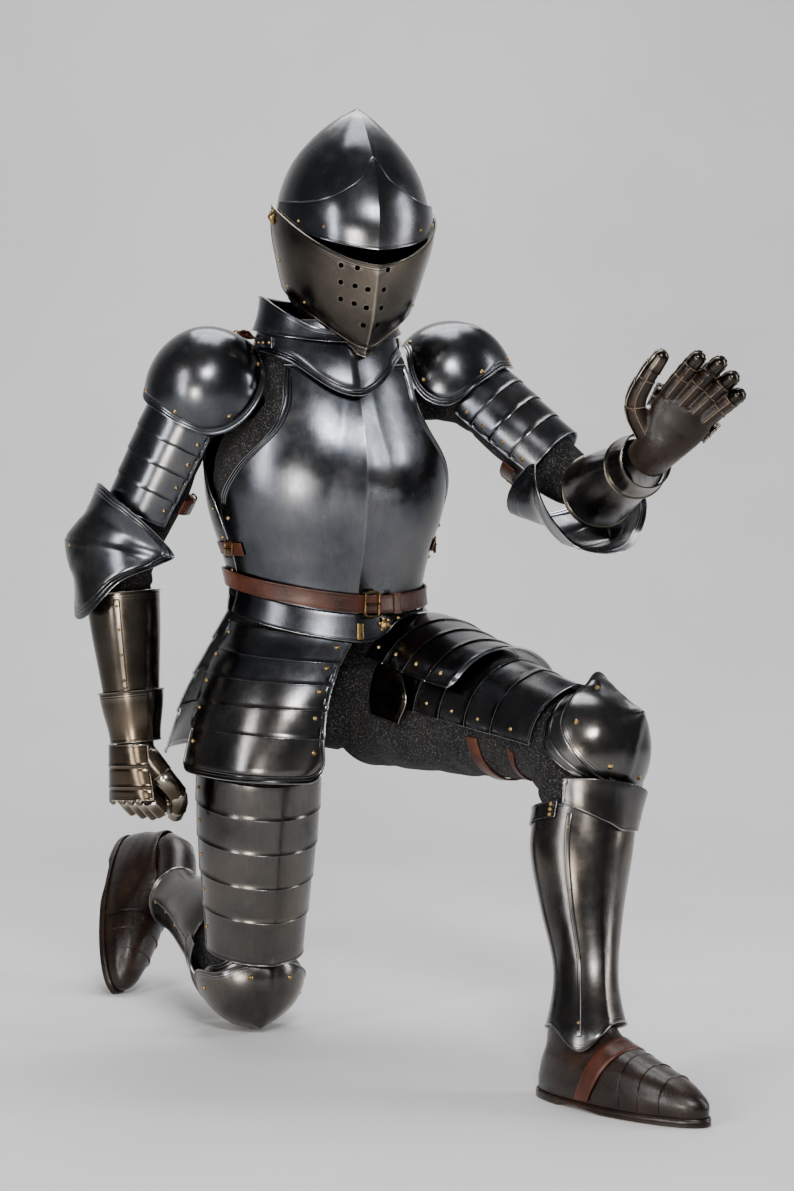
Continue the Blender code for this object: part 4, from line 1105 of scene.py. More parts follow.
# %% Tassets
SKIRT_RINGS = (
    (-0.270, -0.108, 0.012, 0.114, 0.130, 0.000),
    (-0.200, -0.082, 0.012, 0.126, 0.131, 0.000),
    (-0.140, -0.048, 0.010, 0.142, 0.128, 0.002),
    (-0.090, -0.018, 0.004, 0.151, 0.121, 0.005),
    (-0.060, -0.004, 0.001, 0.145, 0.113, 0.008),
    (-0.030, 0.000, 0.000, 0.140, 0.108, 0.010))
SADDLE_RINGS = (
    (0.020, 0.010, 0.004, 0.118, 0.104),
    (0.100, 0.006, 0.002, 0.113, 0.102),
    (0.180, 0.000, 0.000, 0.106, 0.095),
    (0.280, 0.000, 0.000, 0.099, 0.091))
FLARE, OVERLAP = 0.0042, 0.009
TASSET_FLARE, TASSET_RIVET_LIFT = FLARE * 0.62, FLARE * 0.4
skirt = Form(Vector(), UP, FRONT, LEFT, SKIRT_RINGS, keel_width=60)
saddle = Form(HIP["left"], KNEE["left"], UP, LEFT, SADDLE_RINGS)


def lames(name, form, edges, sides):
    """Overlapping lames, each riveted near both ends; an edge is its place at each end of the arc."""
    spots = []
    for number, (top, bottom) in enumerate(zip(edges, edges[1:]), start=1):
        tuck = OVERLAP if bottom[0] > top[0] else -OVERLAP
        start = 0 if number == 1 else tuck
        last = number == len(edges) - 1
        bend = (bottom[0] - top[0]) * 0.5
        low_edge = ((0, bottom[0]), (1, bottom[1]))
        if last:      # the corners of the last lame are rounded off
            low_edge = ((0, bottom[0] - bend * 0.4), (0.04, bottom[0] - bend * 0.08), (0.10, bottom[0]),
                        (0.86, bottom[1]), (0.94, bottom[1] - bend * 0.14), (0.98, bottom[1] - bend * 0.5),
                        (1, bottom[1] - bend))
        face = strip(form, low_edge, ((0, top[0] - start), (1, top[1] - start)), sides)
        plate(f"{name}_lame_{number}", face, (44, 7), low=LINED if last else LIP, high=EASED, side=ROLLED,
              rise=flared(TASSET_FLARE), stands_for=f"{name}_{number}")
        spots += [spot(face, across, 0.60, TASSET_RIVET_LIFT) for across in (0.075, 0.925)]
    rivets(f"{name}_rivets", spots, "large")


RIGHT_EDGES = ((-0.040, -0.060), (-0.076, -0.095), (-0.111, -0.124), (-0.149, -0.157), (-0.183, -0.197),
               (-0.247, -0.257))
RIGHT_SIDES = ((-0.27, -88, 28), (-0.16, -92, 3), (-0.10, -94, -3), (-0.05, -94, 0))
LEFT_EDGES = [(place, place) for place in (0.060, 0.105, 0.150, 0.200, 0.255)]
lames("tasset_right", skirt, RIGHT_EDGES, RIGHT_SIDES)
lames("tasset_left", saddle, LEFT_EDGES, (-64, 80))
print("tasset lames:", len(RIGHT_EDGES) - 1, "on the right,", len(LEFT_EDGES) - 1, "on the left")

# %% Inner thigh plate and the fauld's fittings
inner_face = strip(saddle, ((0, 0.150), (0.5, 0.168), (1, 0.140)), 0.085, (-108, -62))
plate("inner_thigh_plate", inner_face, (24, 12), "browned_steel", low=ROLLED, high=EASED, side=ROLLED,
      rise=proud(-0.006))
rivets_on("fauld_rivets", fauld_face, [(0.66, 0.30)], 0.0038)
rosette("fauld_rosette", *spot(fauld_face, 0.60, 0.42, 0.0034), "suit")
clasp_face = strip(trunk, -0.062, -0.040, (-1.5, 2.0))
clasp = plate("tasset_clasp", clasp_face, (4, 8), "aged_brass", STRAP_WALL, **ALL_EASED, rise=proud(0.0075))
print("the clasp is", round(clasp.dimensions.z * 1000), "mm high")

# %% [markdown]
# ## Shoulders and upper arms
#
# A pauldron is a bowl over the shoulder with a rim that is cut away at the front, so that the arm
# can swing forward. Under it the upper arm is covered by four lames that overlap downward like
# tiles. The bowl's rim is a table too: for each direction it says how far the steel reaches.

# %% Shoulder and arm forms
PAULDRON_RIM = {      # direction round the rim, reach from the pole, body radius, rim radius
    "right": (
        (0, 100, 0.084, 0.088), (30, 98, 0.084, 0.088), (60, 79, 0.084, 0.086),
        (88, 71, 0.083, 0.086), (140, 84, 0.080, 0.084), (180, 92, 0.080, 0.083),
        (240, 80, 0.084, 0.086), (300, 86, 0.086, 0.090)),
    "left": (
        (5, 70, 0.084, 0.089), (38, 59, 0.085, 0.089), (64, 66, 0.087, 0.091),
        (90, 78, 0.085, 0.089), (150, 92, 0.080, 0.082), (210, 84, 0.080, 0.082),
        (270, 66, 0.082, 0.084), (315, 92, 0.084, 0.090), (340, 92, 0.084, 0.091))}
PAULDRON_TIP = 0.084
PAULDRON_POLE = {"right": Vector((-0.50, -0.50, 0.70)), "left": Vector((0.05, -0.45, 0.89))}
UPPER_ARM_RINGS = (
    (0.000, 0, 0, 0.063, 0.063),
    (0.100, 0, 0, 0.060, 0.060),
    (0.190, 0, 0, 0.055, 0.055),
    (0.280, 0, 0, 0.051, 0.051))
LAME_FACING = {"right": OUTWARD["right"], "left": Vector((0.37, -0.51, 0.78))}
LAME_TUCK, LAME_FLARE, LAME_RIVET_LIFT = 0.006, FLARE * 0.45, FLARE * 0.22
ARM_STEPS = (0.052, 0.086, 0.121, 0.158, 0.195)


def stepped(name, form, steps, dip, sides, columns, stands_for):
    """A stack of lames along a limb; each one's free edge stands off the next and may sag."""
    sheets, spots = [], []
    for top, bottom in zip(steps, steps[1:]):
        tucked = top if top == steps[0] else top - LAME_TUCK
        low = ((0, bottom), (0.5, bottom + dip), (1, bottom))
        high = ((0, tucked), (0.5, tucked + dip), (1, tucked))
        face = strip(form, low, high, sides)
        sheets.append(sheet_rows(face, (columns, 6), low=TURNED if bottom == steps[-1] else LIP, high=EASED,
                                 side=TURNED, rise=flared(LAME_FLARE)))
        spots += [spot(face, across, 0.5, LAME_RIVET_LIFT) for across in (0.06, 0.94)]
    skin(name, sheets, STEEL_WALL, "blued_steel", stands_for=stands_for)
    rivets(f"{name}_rivets", spots, "lame")


upper_arm = {}
for side in SIDES:
    cap = Bowl(SHOULDER[side], PAULDRON_POLE[side], FRONT, UP * -1, PAULDRON_RIM[side], PAULDRON_TIP)
    face = all_round(cap)
    worked(f"pauldron_{side}", face, (112, 24), closed=True, pole=True, high=LINED)
    rivets_on(f"pauldron_{side}_rivets", face, [(turn / 360, 0.86) for turn in range(10, 360, 50)])
    upper_arm[side] = Form(SHOULDER[side], ELBOW[side], LAME_FACING[side], FRONT, UPPER_ARM_RINGS)
    stepped(f"arm_{side}_lames", upper_arm[side], ARM_STEPS, 0.0, (-104, 104), 72, f"arm_lames_{side}")
print("shoulder bowls and arm lames made")

# %% [markdown]
# ## Elbows
#
# The couter is a deep cup with a pointed tip behind the elbow and a wide fan in front of it that
# guards the inside of the arm. Its border carries the same beads as the armholes, and a crisp ridge
# runs out over the fan, which stiffens thin steel as a fold stiffens paper.

# %% Couters
COUTER_RIM = (
    (0, 58, 0.070, 0.090),
    (45, 94, 0.072, 0.120),
    (68, 116, 0.072, 0.098),
    (90, 146, 0.072, 0.106),
    (112, 152, 0.072, 0.111),
    (135, 96, 0.072, 0.113),
    (180, 58, 0.070, 0.090),
    (225, 62, 0.068, 0.078),
    (270, 74, 0.066, 0.072),
    (315, 62, 0.068, 0.078))
COUTER_WING = {"right": FRONT, "left": OUTWARD["right"]}
COUTER_SHIFT = {"right": UP * 0.016, "left": Vector()}
COUTER_TIP, COUTER_LIFT = 0.082, 0.002
COUTER_RIVETS = ((10, 0.72), (170, 0.72), (90, 0.30), (215, 0.7), (325, 0.7))


def fan_ridge(across, along):
    """A crisp ridge from the tip out to the middle of the fan, and a line round the cup."""
    ridge = exp(-((across - 0.265) / 0.012) ** 2) * smooth((0.94 - along) * 12)
    line = exp(-((along - 0.44) / 0.012) ** 2)
    return COUTER_LIFT + 0.0016 * ridge + 0.0007 * line


for side in SIDES:
    shoulder, elbow, wrist = SHOULDER[side], ELBOW[side], WRIST[side]
    bend = (shoulder - elbow).normalized() + (wrist - elbow).normalized()
    hinge = (wrist - elbow).normalized() - (shoulder - elbow).normalized()
    cup = Bowl(elbow + COUTER_SHIFT[side], -bend, hinge, COUTER_WING[side], COUTER_RIM, COUTER_TIP)
    face = all_round(cup)
    worked(f"couter_{side}", face, (136, 28), closed=True, pole=True, high=BEADED, rise=fan_ridge)
    rivets_on(f"couter_{side}_rivets", face, [(turn / 360, share) for turn, share in COUTER_RIVETS],
              COUTER_LIFT, "large")
print("a couter's fan stands", max(row[3] for row in COUTER_RIM), "m from the elbow")

# %% [markdown]
# ## Forearms and gauntlet cuffs
#
# The vambrace is a closed tube made of two halves that meet in a seam and are held by small straps.
# The gauntlet's cuff flares over its end. Both have the warm brown tone.

# %% Forearms
LAP_LIFT = 0.0012


def seam_lap(name, form, ends, angle, half, size, finish, rows, kind):
    """The narrow lap over the seam of a tube's two halves, with a row of rivets down it."""
    lap = strip(form, *ends, (angle - half, angle + half))
    plate(f"{name}_seam", lap, size, finish, LAP_WALL, rise=proud(LAP_LIFT), **ALL_EASED)
    rivets_on(f"{name}_rivets", lap, crossings((0.5,), rows), LAP_LIFT, kind)


FOREARM_RINGS = (
    (0.000, 0, 0, 0.056, 0.056),
    (0.045, 0, 0, 0.052, 0.052),
    (0.090, 0, 0, 0.048, 0.049),
    (0.150, 0, 0, 0.041, 0.043),
    (0.195, 0, 0, 0.037, 0.039),
    (0.260, 0, 0, 0.035, 0.037))
CUFF_RINGS = (
    (0.160, 0, 0, 0.0475, 0.0475),
    (0.200, 0, 0, 0.0432, 0.0432),
    (0.235, 0, 0, 0.0385, 0.0365),
    (0.262, 0, 0, 0.0400, 0.0350))
CUFF_START = {"right": 0.178, "left": 0.200}
SEAM_ANGLE = {"right": 62, "left": -70}
FOREARM_START, CUFF_END = 0.040, 0.250
for side in SIDES:
    forearm = Form(ELBOW[side], WRIST[side], OUTWARD[side], FRONT, FOREARM_RINGS)
    cuff_form = Form(ELBOW[side], WRIST[side], OUTWARD[side], FRONT, CUFF_RINGS)
    start, end = FOREARM_START, CUFF_START[side] + 0.010
    face = strip(forearm, start, end, ALL_ROUND)
    worked(f"vambrace_{side}", face, (80, 20), "browned_steel", low=ROLLED, high=TURNED, closed=True)
    seam_lap(f"vambrace_{side}", forearm, (start + 0.010, end - 0.012), SEAM_ANGLE[side], 5, (8, 30),
             "browned_steel", (0.08, 0.34, 0.62, 0.90), "seam")
    cuff_face = strip(cuff_form, CUFF_START[side], CUFF_END, ALL_ROUND)
    worked(f"gauntlet_cuff_{side}", cuff_face, (80, 7), "browned_steel", low=ROLLED, high=TURNED, closed=True)
print("forearms made")

# %% [markdown]
# ## Gauntlets
#
# A gauntlet is a leather glove with plates riveted to its back. The glove is built from a palm and
# five fingers as overlapping tubes, which a voxel remesh melts into one skin; a few smoothing
# passes soften the joins, and a Decimate modifier drops the points that smooth leather can spare.
# The skin is opened at the wrist and given the leather's thickness, so it is a real hollow glove.

# %% Hand tables and the chain of finger bones
PALM_RINGS = (      # share of the palm's path, half width, half thickness
    (0.00, 0.029, 0.025),
    (0.30, 0.032, 0.023),
    (0.60, 0.040, 0.019),
    (0.90, 0.042, 0.015),
    (1.00, 0.038, 0.011))
FINGERS = ((0.030, 0.86), (0.010, 1.00), (-0.010, 0.92), (-0.029, 0.74))
FINGER_BONES = (0.038, 0.026, 0.022)
THUMB_BONES = (0.050, 0.041, 0.036)
FINGER_RADII = (0.0112, 0.0106, 0.0099, 0.0082)
THUMB_RADII = (0.0145, 0.0134, 0.0120, 0.0092)
down = Vector((-0.02, -0.10, -0.99))
raised = Vector((0.386, -0.458, 0.800)).normalized()
reach = {side: (WRIST[side] - ELBOW[side]).normalized() for side in SIDES}
root = WRIST["left"] + reach["left"] * 0.026
HANDS = {
    # palm's path, way its back faces, bend at each finger joint, lean of the fingers, thumb's ways,
    # start of the plate on its back
    "right": ((WRIST["right"] - reach["right"] * 0.012, WRIST["right"] + down * 0.022,
               WRIST["right"] + down * 0.055, WRIST["right"] + down * 0.090),
              Vector((-0.94, -0.32, 0)), (52, 96, 70), (0.0, 0.6),
              ((0.60, 0.72, 0.20), (0.00, 0.72, 0.62), (-0.60, 0.66, 0.35)), 0.016),
    "left": ((WRIST["left"] - reach["left"] * 0.006, root + raised * 0.018, root + raised * 0.050,
              root + raised * 0.080),
             Vector((0.375, 0.927, -0.07)), (8, 10, 10), (-0.16, 3.6),
             ((0.83, 0.56, 0.10), (0.22, 0.97, 0.10), (0.02, 1.00, 0.05)), 0.060)}


def chain(start, bones, directions):
    """The points along a row of bones."""
    points = [start]
    for length, direction in zip(bones, directions):
        points.append(points[-1] + direction.normalized() * length)
    return points


def hand_axes(side):
    """The ways along the palm, out of its back and towards the thumb."""
    path, back = HANDS[side][0], HANDS[side][1]
    along = (path[-1] - path[-2]).normalized()
    back = (back - back.project(along)).normalized()
    thumbward = back.cross(along) if side == "right" else along.cross(back)
    return along, back, thumbward


def digits(side):
    """The points of four fingers and a thumb, each with its radii."""
    path, _, curl, fan, thumb_ways, _ = HANDS[side]
    along, back, thumbward = hand_axes(side)
    made = []
    for spread, length in FINGERS:
        turned, angle = [], 0.0
        for bend in curl:
            angle += radians(bend)
            turned.append(along * cos(angle) - back * sin(angle) + thumbward * (fan[0] + spread * fan[1]))
        base = path[-1] + thumbward * spread - along * 0.004
        made.append((chain(base, [bone * length for bone in FINGER_BONES], turned), FINGER_RADII))
    directions = [thumbward * a + along * b - back * c for a, b, c in thumb_ways]
    made.append((chain(path[-2] + thumbward * 0.015 - along * 0.036, THUMB_BONES, directions), THUMB_RADII))
    return made


print("a middle finger is", round(sum(FINGER_BONES) * 1000), "mm long")


# %% The glove's skin
def rounded(points, radii, parts=5):
    """Points and radii along a bent finger, eased at its joints and closed at its tip."""
    rows = tuple((i,) + tuple(point) + (radius,) for i, (point, radius) in enumerate(zip(points, radii)))
    last = len(points) - 1
    line = [between(rows, last * i / (parts * last)) for i in range(parts * last + 1)]
    path = [Vector(row[:3]) for row in line]
    sizes = [row[3] for row in line]
    tangent = (path[-1] - path[-2]).normalized()
    tip = sizes[-1]
    for share in (0.5, 0.82, 1.0):
        path.append(path[len(line) - 1] + tangent * tip * share)
        sizes.append(tip * max(0.12, (1 - share ** 2) ** 0.5))
    return path, sizes


VOXEL, SOFTENING, KEPT_SHARE, MOUTH_CUT = 0.0017, 5, 0.42, 0.0012


def glove(side):
    """One glove: its forms melted together, creased, thinned out, opened and given its leather."""
    path = HANDS[side][0]
    _, back, thumbward = hand_axes(side)
    palm = Limb(path, PALM_RINGS, thumbward)
    mesh = bmesh.new()
    add_tube(mesh, [[palm.point(angle * 15, share / 16) for angle in range(24)] for share in range(17)])
    for points, radii in digits(side):
        line, sizes = rounded(points, radii)
        add_rod(mesh, line, sizes, sides=16, up=back + thumbward * 0.01)
    bmesh.ops.recalc_face_normals(mesh, faces=mesh.faces[:])
    made = place_object(f"glove_{side}_leather", mesh, "glove_hide", stands_for=f"glove_{side}", sharp=60)
    melt = made.modifiers.new("Melt", "REMESH")
    melt.mode = "VOXEL"
    melt.voxel_size = VOXEL
    ease = made.modifiers.new("Ease", "SMOOTH")
    ease.factor = 0.5
    ease.iterations = SOFTENING
    settle(made)
    crease(made, side)
    lighter = made.modifiers.new("Lighter", "DECIMATE")
    lighter.ratio = KEPT_SHARE
    settle(made)
    mouth = (path[1] - path[0]).normalized()
    opened = bmesh.new()
    opened.from_mesh(made.data)
    gone = [face for face in opened.faces if (face.calc_center_median() - path[0]).dot(mouth) < MOUTH_CUT]
    bmesh.ops.delete(opened, geom=gone, context="FACES")
    opened.to_mesh(made.data)
    opened.free()
    made.data.shade_smooth()
    return thicken(made, SOFT_WALL)


def crease(made, side):
    """Press folds into the leather across the finger joints, and let it ripple a little."""
    data = made.data
    places = np.empty(len(data.vertices) * 3, np.float32)
    normals = np.empty(len(data.vertices) * 3, np.float32)
    data.vertices.foreach_get("co", places)
    data.vertices.foreach_get("normal", normals)
    places, normals = places.reshape(-1, 3), normals.reshape(-1, 3)
    depth, half_width = 0.0011, 0.0016
    push = 0.0006 * ripple(places, 45) + 0.0003 * ripple(places, 120)
    for points, radii in digits(side):
        direction = np.array((points[-1] - points[0]).normalized())
        for joint, radius in zip(points[1:-1], radii[1:]):
            offset = places - np.array(joint)
            near = np.linalg.norm(offset, axis=1) < radius * 1.7
            push -= np.where(near, depth * np.exp(-(offset @ direction / half_width) ** 2), 0)
    data.vertices.foreach_set("co", (places + normals * push[:, None]).ravel())
    data.update()


def ripple(places, scale):
    """A soft uneven wave over many points, from -1 to 1."""
    x, y, z = (places * scale).T
    return np.sin(x + 1.7 * np.sin(y * 0.9)) * np.sin(y * 1.1 + 1.3 * np.sin(z)) * np.sin(z * 0.8 + x * 0.6)


for side in SIDES:
    made = glove(side)
    print(made.name, "has", len(made.data.polygons), "faces")


# %% Plates of the gauntlets
HAND_PLATE_RINGS = (
    (0.000, 0, 0, 0.040, 0.036),
    (0.050, 0, 0, 0.045, 0.033),
    (0.095, 0, 0, 0.052, 0.028))
SCALE_LIFT, SCALE_FLARE = 0.0022, 0.0012


def finger_plates(name, points, radii, back, scales):
    """Small overlapping scales along the back of a finger."""
    line, sizes = rounded(points, radii, 6)
    sheets = []
    rows = tuple((i / (len(line) - 1),) + tuple(p) + (r,) for i, (p, r) in enumerate(zip(line, sizes)))

    def face(across, along, lift=0.0):
        share = min(0.97, max(0.01, along))
        centre = Vector(between(rows, share)[:3])
        ahead = Vector(between(rows, min(1, share + 0.02))[:3])
        behind = Vector(between(rows, max(0, share - 0.02))[:3])
        tangent = (ahead - behind).normalized()
        up = (back - back.project(tangent)).normalized()
        angle = radians(-72 + 144 * across)
        radius = between(rows, share)[3] + SCALE_LIFT + lift
        return centre + (up * cos(angle) + tangent.cross(up) * sin(angle)) * radius

    for k in range(scales):
        first, last = 0.04 + 0.92 * k / scales, 0.04 + 0.92 * (k + 1) / scales + 0.02
        part = lambda across, along, lift=0.0, a=first, b=last: face(across, b + (a - b) * along, lift)
        sheets.append(sheet_rows(part, (12, 3), low=SCALE_LIP, rise=flared(SCALE_FLARE)))
    skin(name, sheets, SCALE_WALL, "browned_steel")


def hand_bands(across, along):
    """The hand plate is worked as three lames; a bead and a groove part each from the next."""
    bead, groove, half_width = 0.0013, 0.0009, 0.020
    return sum(bead * exp(-((along - place) / half_width) ** 2)
               - groove * exp(-((along - place + 0.05) / half_width) ** 2) for place in (0.24, 0.62))


def hand_plates(side):
    """The plate on the back of the hand and the scales on each finger."""
    path, plate_start = HANDS[side][0], HANDS[side][5]
    along, back, thumbward = hand_axes(side)
    shield = Form(path[-1] - along * 0.092, path[-1], back, thumbward, HAND_PLATE_RINGS)
    face = strip(shield, 0.094, plate_start, (-78, 78))
    worked(f"hand_plate_{side}", face, (36, 44), "browned_steel", **ALL_TURNED, rise=hand_bands)
    *fingers, thumb = digits(side)
    for (points, radii), name in zip(fingers, ("first", "second", "third", "fourth")):
        finger_plates(f"{name}_scales_{side}", points, radii, back, 5)
    finger_plates(f"thumb_scales_{side}", *thumb, back * 0.5 + thumbward * 0.9, 4)


# %% Fingertips, seams and knuckles
STITCH, TIP_LIFT, KNUCKLE = 0.0006, 0.0012, 0.0068


def finger_trim(side):
    """Steel fingertips, sewn seams on the palm side and a steel knob on each knuckle."""
    path = HANDS[side][0]
    along, back, thumbward = hand_axes(side)
    tips, seams = bmesh.new(), bmesh.new()
    for points, radii in digits(side):
        line, sizes = rounded(points, radii)
        add_rod(tips, line[-7:], [size + TIP_LIFT for size in sizes[-7:]], sides=16)
        add_rod(seams, [point - back * (size + 0.0002) for point, size in zip(line[:-6], sizes[:-6])],
                STITCH, sides=6)
        for joint in (5, 10):
            ahead = (line[joint + 1] - line[joint - 1]).normalized()
            across = ahead.cross(back).normalized()
            ring = [line[joint] + (across * sin(radians(turn)) - back * cos(radians(turn)))
                    * (sizes[joint] + 0.0003) for turn in range(-80, 81, 20)]
            add_rod(seams, ring, STITCH, sides=6)
    place_object(f"fingertips_{side}", tips, "browned_steel", sharp=50)
    place_object(f"finger_seams_{side}", seams, "waxed_thread")
    knobs = bmesh.new()
    for spread, _ in FINGERS:
        add_head(knobs, path[-1] + thumbward * spread + back * 0.0185 + along * 0.002, back, KNUCKLE, 14)
    place_object(f"knuckles_{side}", knobs, "browned_steel", sharp=50)


for side in SIDES:
    hand_plates(side)
    finger_trim(side)
print("gauntlet plates made")

# %% [markdown]
# ## Legs
#
# A cuisse covers the front and sides of the thigh with five lames whose edges sag in the middle. The
# poleyn is a pointed cap over the knee with a wing on its outer side; two lames that show from under
# its rim and one on the shin let it bend. The greave is a closed tube from the knee to the ankle, in
# two halves hinged along one side.

# %% Leg forms
THIGH_RINGS = (
    (0.080, 0, 0, 0.090, 0.090, 0.000),
    (0.200, 0, 0, 0.085, 0.086, 0.002),
    (0.300, 0, 0, 0.076, 0.078, 0.003),
    (0.380, 0, 0, 0.068, 0.070, 0.004),
    (0.450, 0, 0, 0.066, 0.068, 0.004))
SHIN_RINGS = (
    (0.020, 0, 0.000, 0.070, 0.074, 0.000),
    (0.080, -0.004, -0.006, 0.068, 0.068, 0.002),
    (0.140, -0.007, -0.010, 0.068, 0.066, 0.003),
    (0.220, -0.004, -0.008, 0.054, 0.055, 0.003),
    (0.290, 0, 0.000, 0.042, 0.047, 0.003),
    (0.330, 0, 0.004, 0.043, 0.050, 0.003),
    (0.390, 0, 0.010, 0.055, 0.066, 0.003))
POLEYN_RIM = {
    "right": (
        (0, 70, 0.074, 0.078), (60, 84, 0.075, 0.082), (90, 96, 0.076, 0.086),
        (120, 84, 0.077, 0.081), (150, 86, 0.0740, 0.0745), (180, 88, 0.0738, 0.0740),
        (210, 86, 0.0738, 0.0740), (270, 84, 0.070, 0.073), (320, 76, 0.072, 0.074)),
    "left": (
        (0, 74, 0.076, 0.080), (60, 84, 0.077, 0.086), (90, 98, 0.077, 0.092),
        (120, 78, 0.077, 0.084), (154, 66, 0.077, 0.081), (180, 66, 0.077, 0.100),
        (206, 64, 0.077, 0.081), (240, 68, 0.077, 0.081), (270, 80, 0.076, 0.080))}
KNEE_LAME = {      # start angle on the shin, then the lower edge by share across it
    "right": (-105, 0.104),
    "left": (-52, ((0, 0.090), (0.42, 0.120), (0.50, 0.120), (1, 0.100)))}
GREAVE_EDGE = {      # lower edge by share round the greave from the back, where 0.5 is the front
    "right": 0.315,
    "left": ((0, 0.376), (0.26, 0.376), (0.39, 0.412), (0.52, 0.374), (0.70, 0.368), (1, 0.376))}
LAME_REACH = {      # how far the lame under the knee cap reaches past it, by turn
    "right": ((0, 2), (90, 2), (140, 8), (180, 9), (220, 8), (270, 2), (360, 2)),
    "left": ((0, 3), (90, 2), (150, 12), (200, 18), (250, 22), (290, 18), (330, 8), (360, 3))}
THIGH_FACING = {"right": FRONT, "left": UP}
SHIN_FACING = {"right": FRONT - UP, "left": FRONT}
CUISSE_END = {"right": 0.382, "left": 0.394}
CUISSE_SIDES = {"right": (-105, 105), "left": (-95, 95)}
KNEE_TIP = {"right": 0.078, "left": 0.092}
SEAM = {"right": (90, 0.300), "left": (-42, 0.392)}
CUISSE_STEPS, CUISSE_DIP = (0.120, 0.170, 0.220, 0.270, 0.320), 0.010
thigh = {side: Form(HIP[side], KNEE[side], THIGH_FACING[side], OUTWARD[side], THIGH_RINGS) for side in SIDES}
shin = {side: Form(KNEE[side], ANKLE[side], SHIN_FACING[side], OUTWARD[side], SHIN_RINGS) for side in SIDES}
print("the left cuisse ends", CUISSE_END["left"], "m down the thigh")


# %% Knees
def knee_keel(across, along):
    """A crisp ridge over the cap, from its upper rim to its lower one."""
    height, half_width = 0.0026, 0.10
    turn = min(abs(across), abs(across - 0.5), abs(across - 1.0)) * 2 * pi * sin(radians(82) * along)
    return height * exp(-(turn / half_width) ** 2) * smooth((0.95 - along) * 5)


def knee_cap(side):
    """The cap over the knee, its rivets and the two lames that show from under its rim."""
    hip, knee, ankle = HIP[side], KNEE[side], ANKLE[side]
    shin_way = (ankle - knee).normalized() - (hip - knee).normalized()
    cap = Bowl(knee, KNEE_POLE[side], shin_way, OUTWARD[side], POLEYN_RIM[side], KNEE_TIP[side])
    face = all_round(cap)
    worked(f"poleyn_{side}", face, (112, 26), closed=True, pole=True, high=ROLLED, rise=knee_keel)
    rivets_on(f"poleyn_{side}_rivets", face, [(turn / 360, 0.80) for turn in (25, 90, 155, 205, 270, 335)],
              0.0, "knee")
    for number, (share, inset) in enumerate(((1.0, 0.0032), (1.8, 0.0058)), start=1):
        tucked = tuple((turn, reach + share * read(LAME_REACH[side], turn), body - inset, body - inset)
                       for turn, reach, body, _ in POLEYN_RIM[side])
        under = Bowl(knee, KNEE_POLE[side], shin_way, OUTWARD[side], tucked, tucked[0][2])
        plate(f"upper_knee_lame_{side}_{number}", all_round(under, 0.72, 0.28), (96, 3), closed=True,
              high=TURNED)


# %% Greaves, with the lame on the shin
GREAVE_TOP, BAND_LIFT = 0.090, 0.0030


def lower_leg(side):
    """The lame on the shin, the greave and the lap where its halves meet."""
    lame_start, lame_edge = KNEE_LAME[side]
    lame = strip(shin[side], lame_edge, 0.060, (lame_start, 105))
    worked(f"knee_lame_{side}", lame, (72, 6), low=TURNED, high=EASED, side=TURNED,
           rise=lambda across, along: 0.004 + 0.006 * along)
    greave_face = strip(shin[side], GREAVE_TOP, GREAVE_EDGE[side], ALL_ROUND)
    worked(f"greave_{side}", greave_face, (92, 32), low=TURNED, high=ROLLED, closed=True, sharp=30)
    seam_angle, seam_end = SEAM[side]
    seam_lap(f"greave_{side}", shin[side], (0.104, seam_end), seam_angle, 2.5, (6, 36), "blued_steel",
             (0.06, 0.34, 0.64, 0.94), "small")


for side in SIDES:
    stepped(f"cuisse_{side}_lames", thigh[side], CUISSE_STEPS + (CUISSE_END[side],), CUISSE_DIP,
            CUISSE_SIDES[side], 68, f"cuisse_{side}")
    knee_cap(side)
    lower_leg(side)
hinge = strip(shin["left"], 0.108, 0.086, (-140, -58))
plate("greave_hinge_band", hinge, (32, 5), **ALL_TURNED, rise=proud(BAND_LIFT))
rivets_on("greave_hinge_studs", hinge, crossings((0.10, 0.90), (0.2, 0.5, 0.8)), BAND_LIFT, "lame")
print("legs made")

# %% [markdown]
# ## Arming cloth
#
# Under the steel the wearer has a doublet and hose of thick felt. Each piece is a tube or a bowl.
# Its creases are placed: deep and close together in the bend of the elbow and knee, long and
# shallow along a limb, and never at even steps, because real folds are not.

# %% Creases
def folds(seed, count, depth, along_range, lean=0.0):
    """A set of uneven creases round a limb: where each one lies, its depth, width and lean."""
    rng = random.Random(seed)
    first, last = along_range
    return [(first + (last - first) * (k + rng.uniform(0.15, 0.85)) / count, depth * rng.uniform(0.55, 1.1),
             rng.uniform(0.012, 0.026), rng.uniform(0, 1), rng.uniform(-0.05, 0.05) + lean)
            for k in range(count)]


def fold_height(creases, across, along, wander):
    """How far the cloth stands out at a place between its creases."""
    height = 0.0
    for place, depth, width, centre, lean in creases:
        around = abs((across - centre + 0.5) % 1 - 0.5)
        waver = noise.noise(Vector((across * 7, place * 40, 3)))
        line = place + lean * cos(2 * pi * (across - centre)) + 0.010 * waver
        height -= depth * exp(-((along - line) / width) ** 2) * (0.35 + 0.65 * exp(-(around / 0.28) ** 2))
    turn = 2 * pi * across
    return height + wander * noise.noise(Vector((cos(turn) * 1.6, sin(turn) * 1.6, along * 9)))


SLEEVE_RINGS = (
    (0.00, 0.043, 0.043),
    (0.20, 0.045, 0.045),
    (0.50, 0.043, 0.043),
    (0.75, 0.035, 0.035),
    (1.00, 0.034, 0.034))
HOSE_RINGS = {
    "right": (
        (0.0, 0.082, 0.080), (0.4, 0.072, 0.072), (0.6, 0.060, 0.060),
        (0.8, 0.052, 0.052), (1.0, 0.050, 0.050)),
    "left": (
        (0.0, 0.088, 0.094), (0.3, 0.076, 0.084), (0.6, 0.057, 0.060),
        (0.8, 0.052, 0.053), (1.0, 0.050, 0.050))}


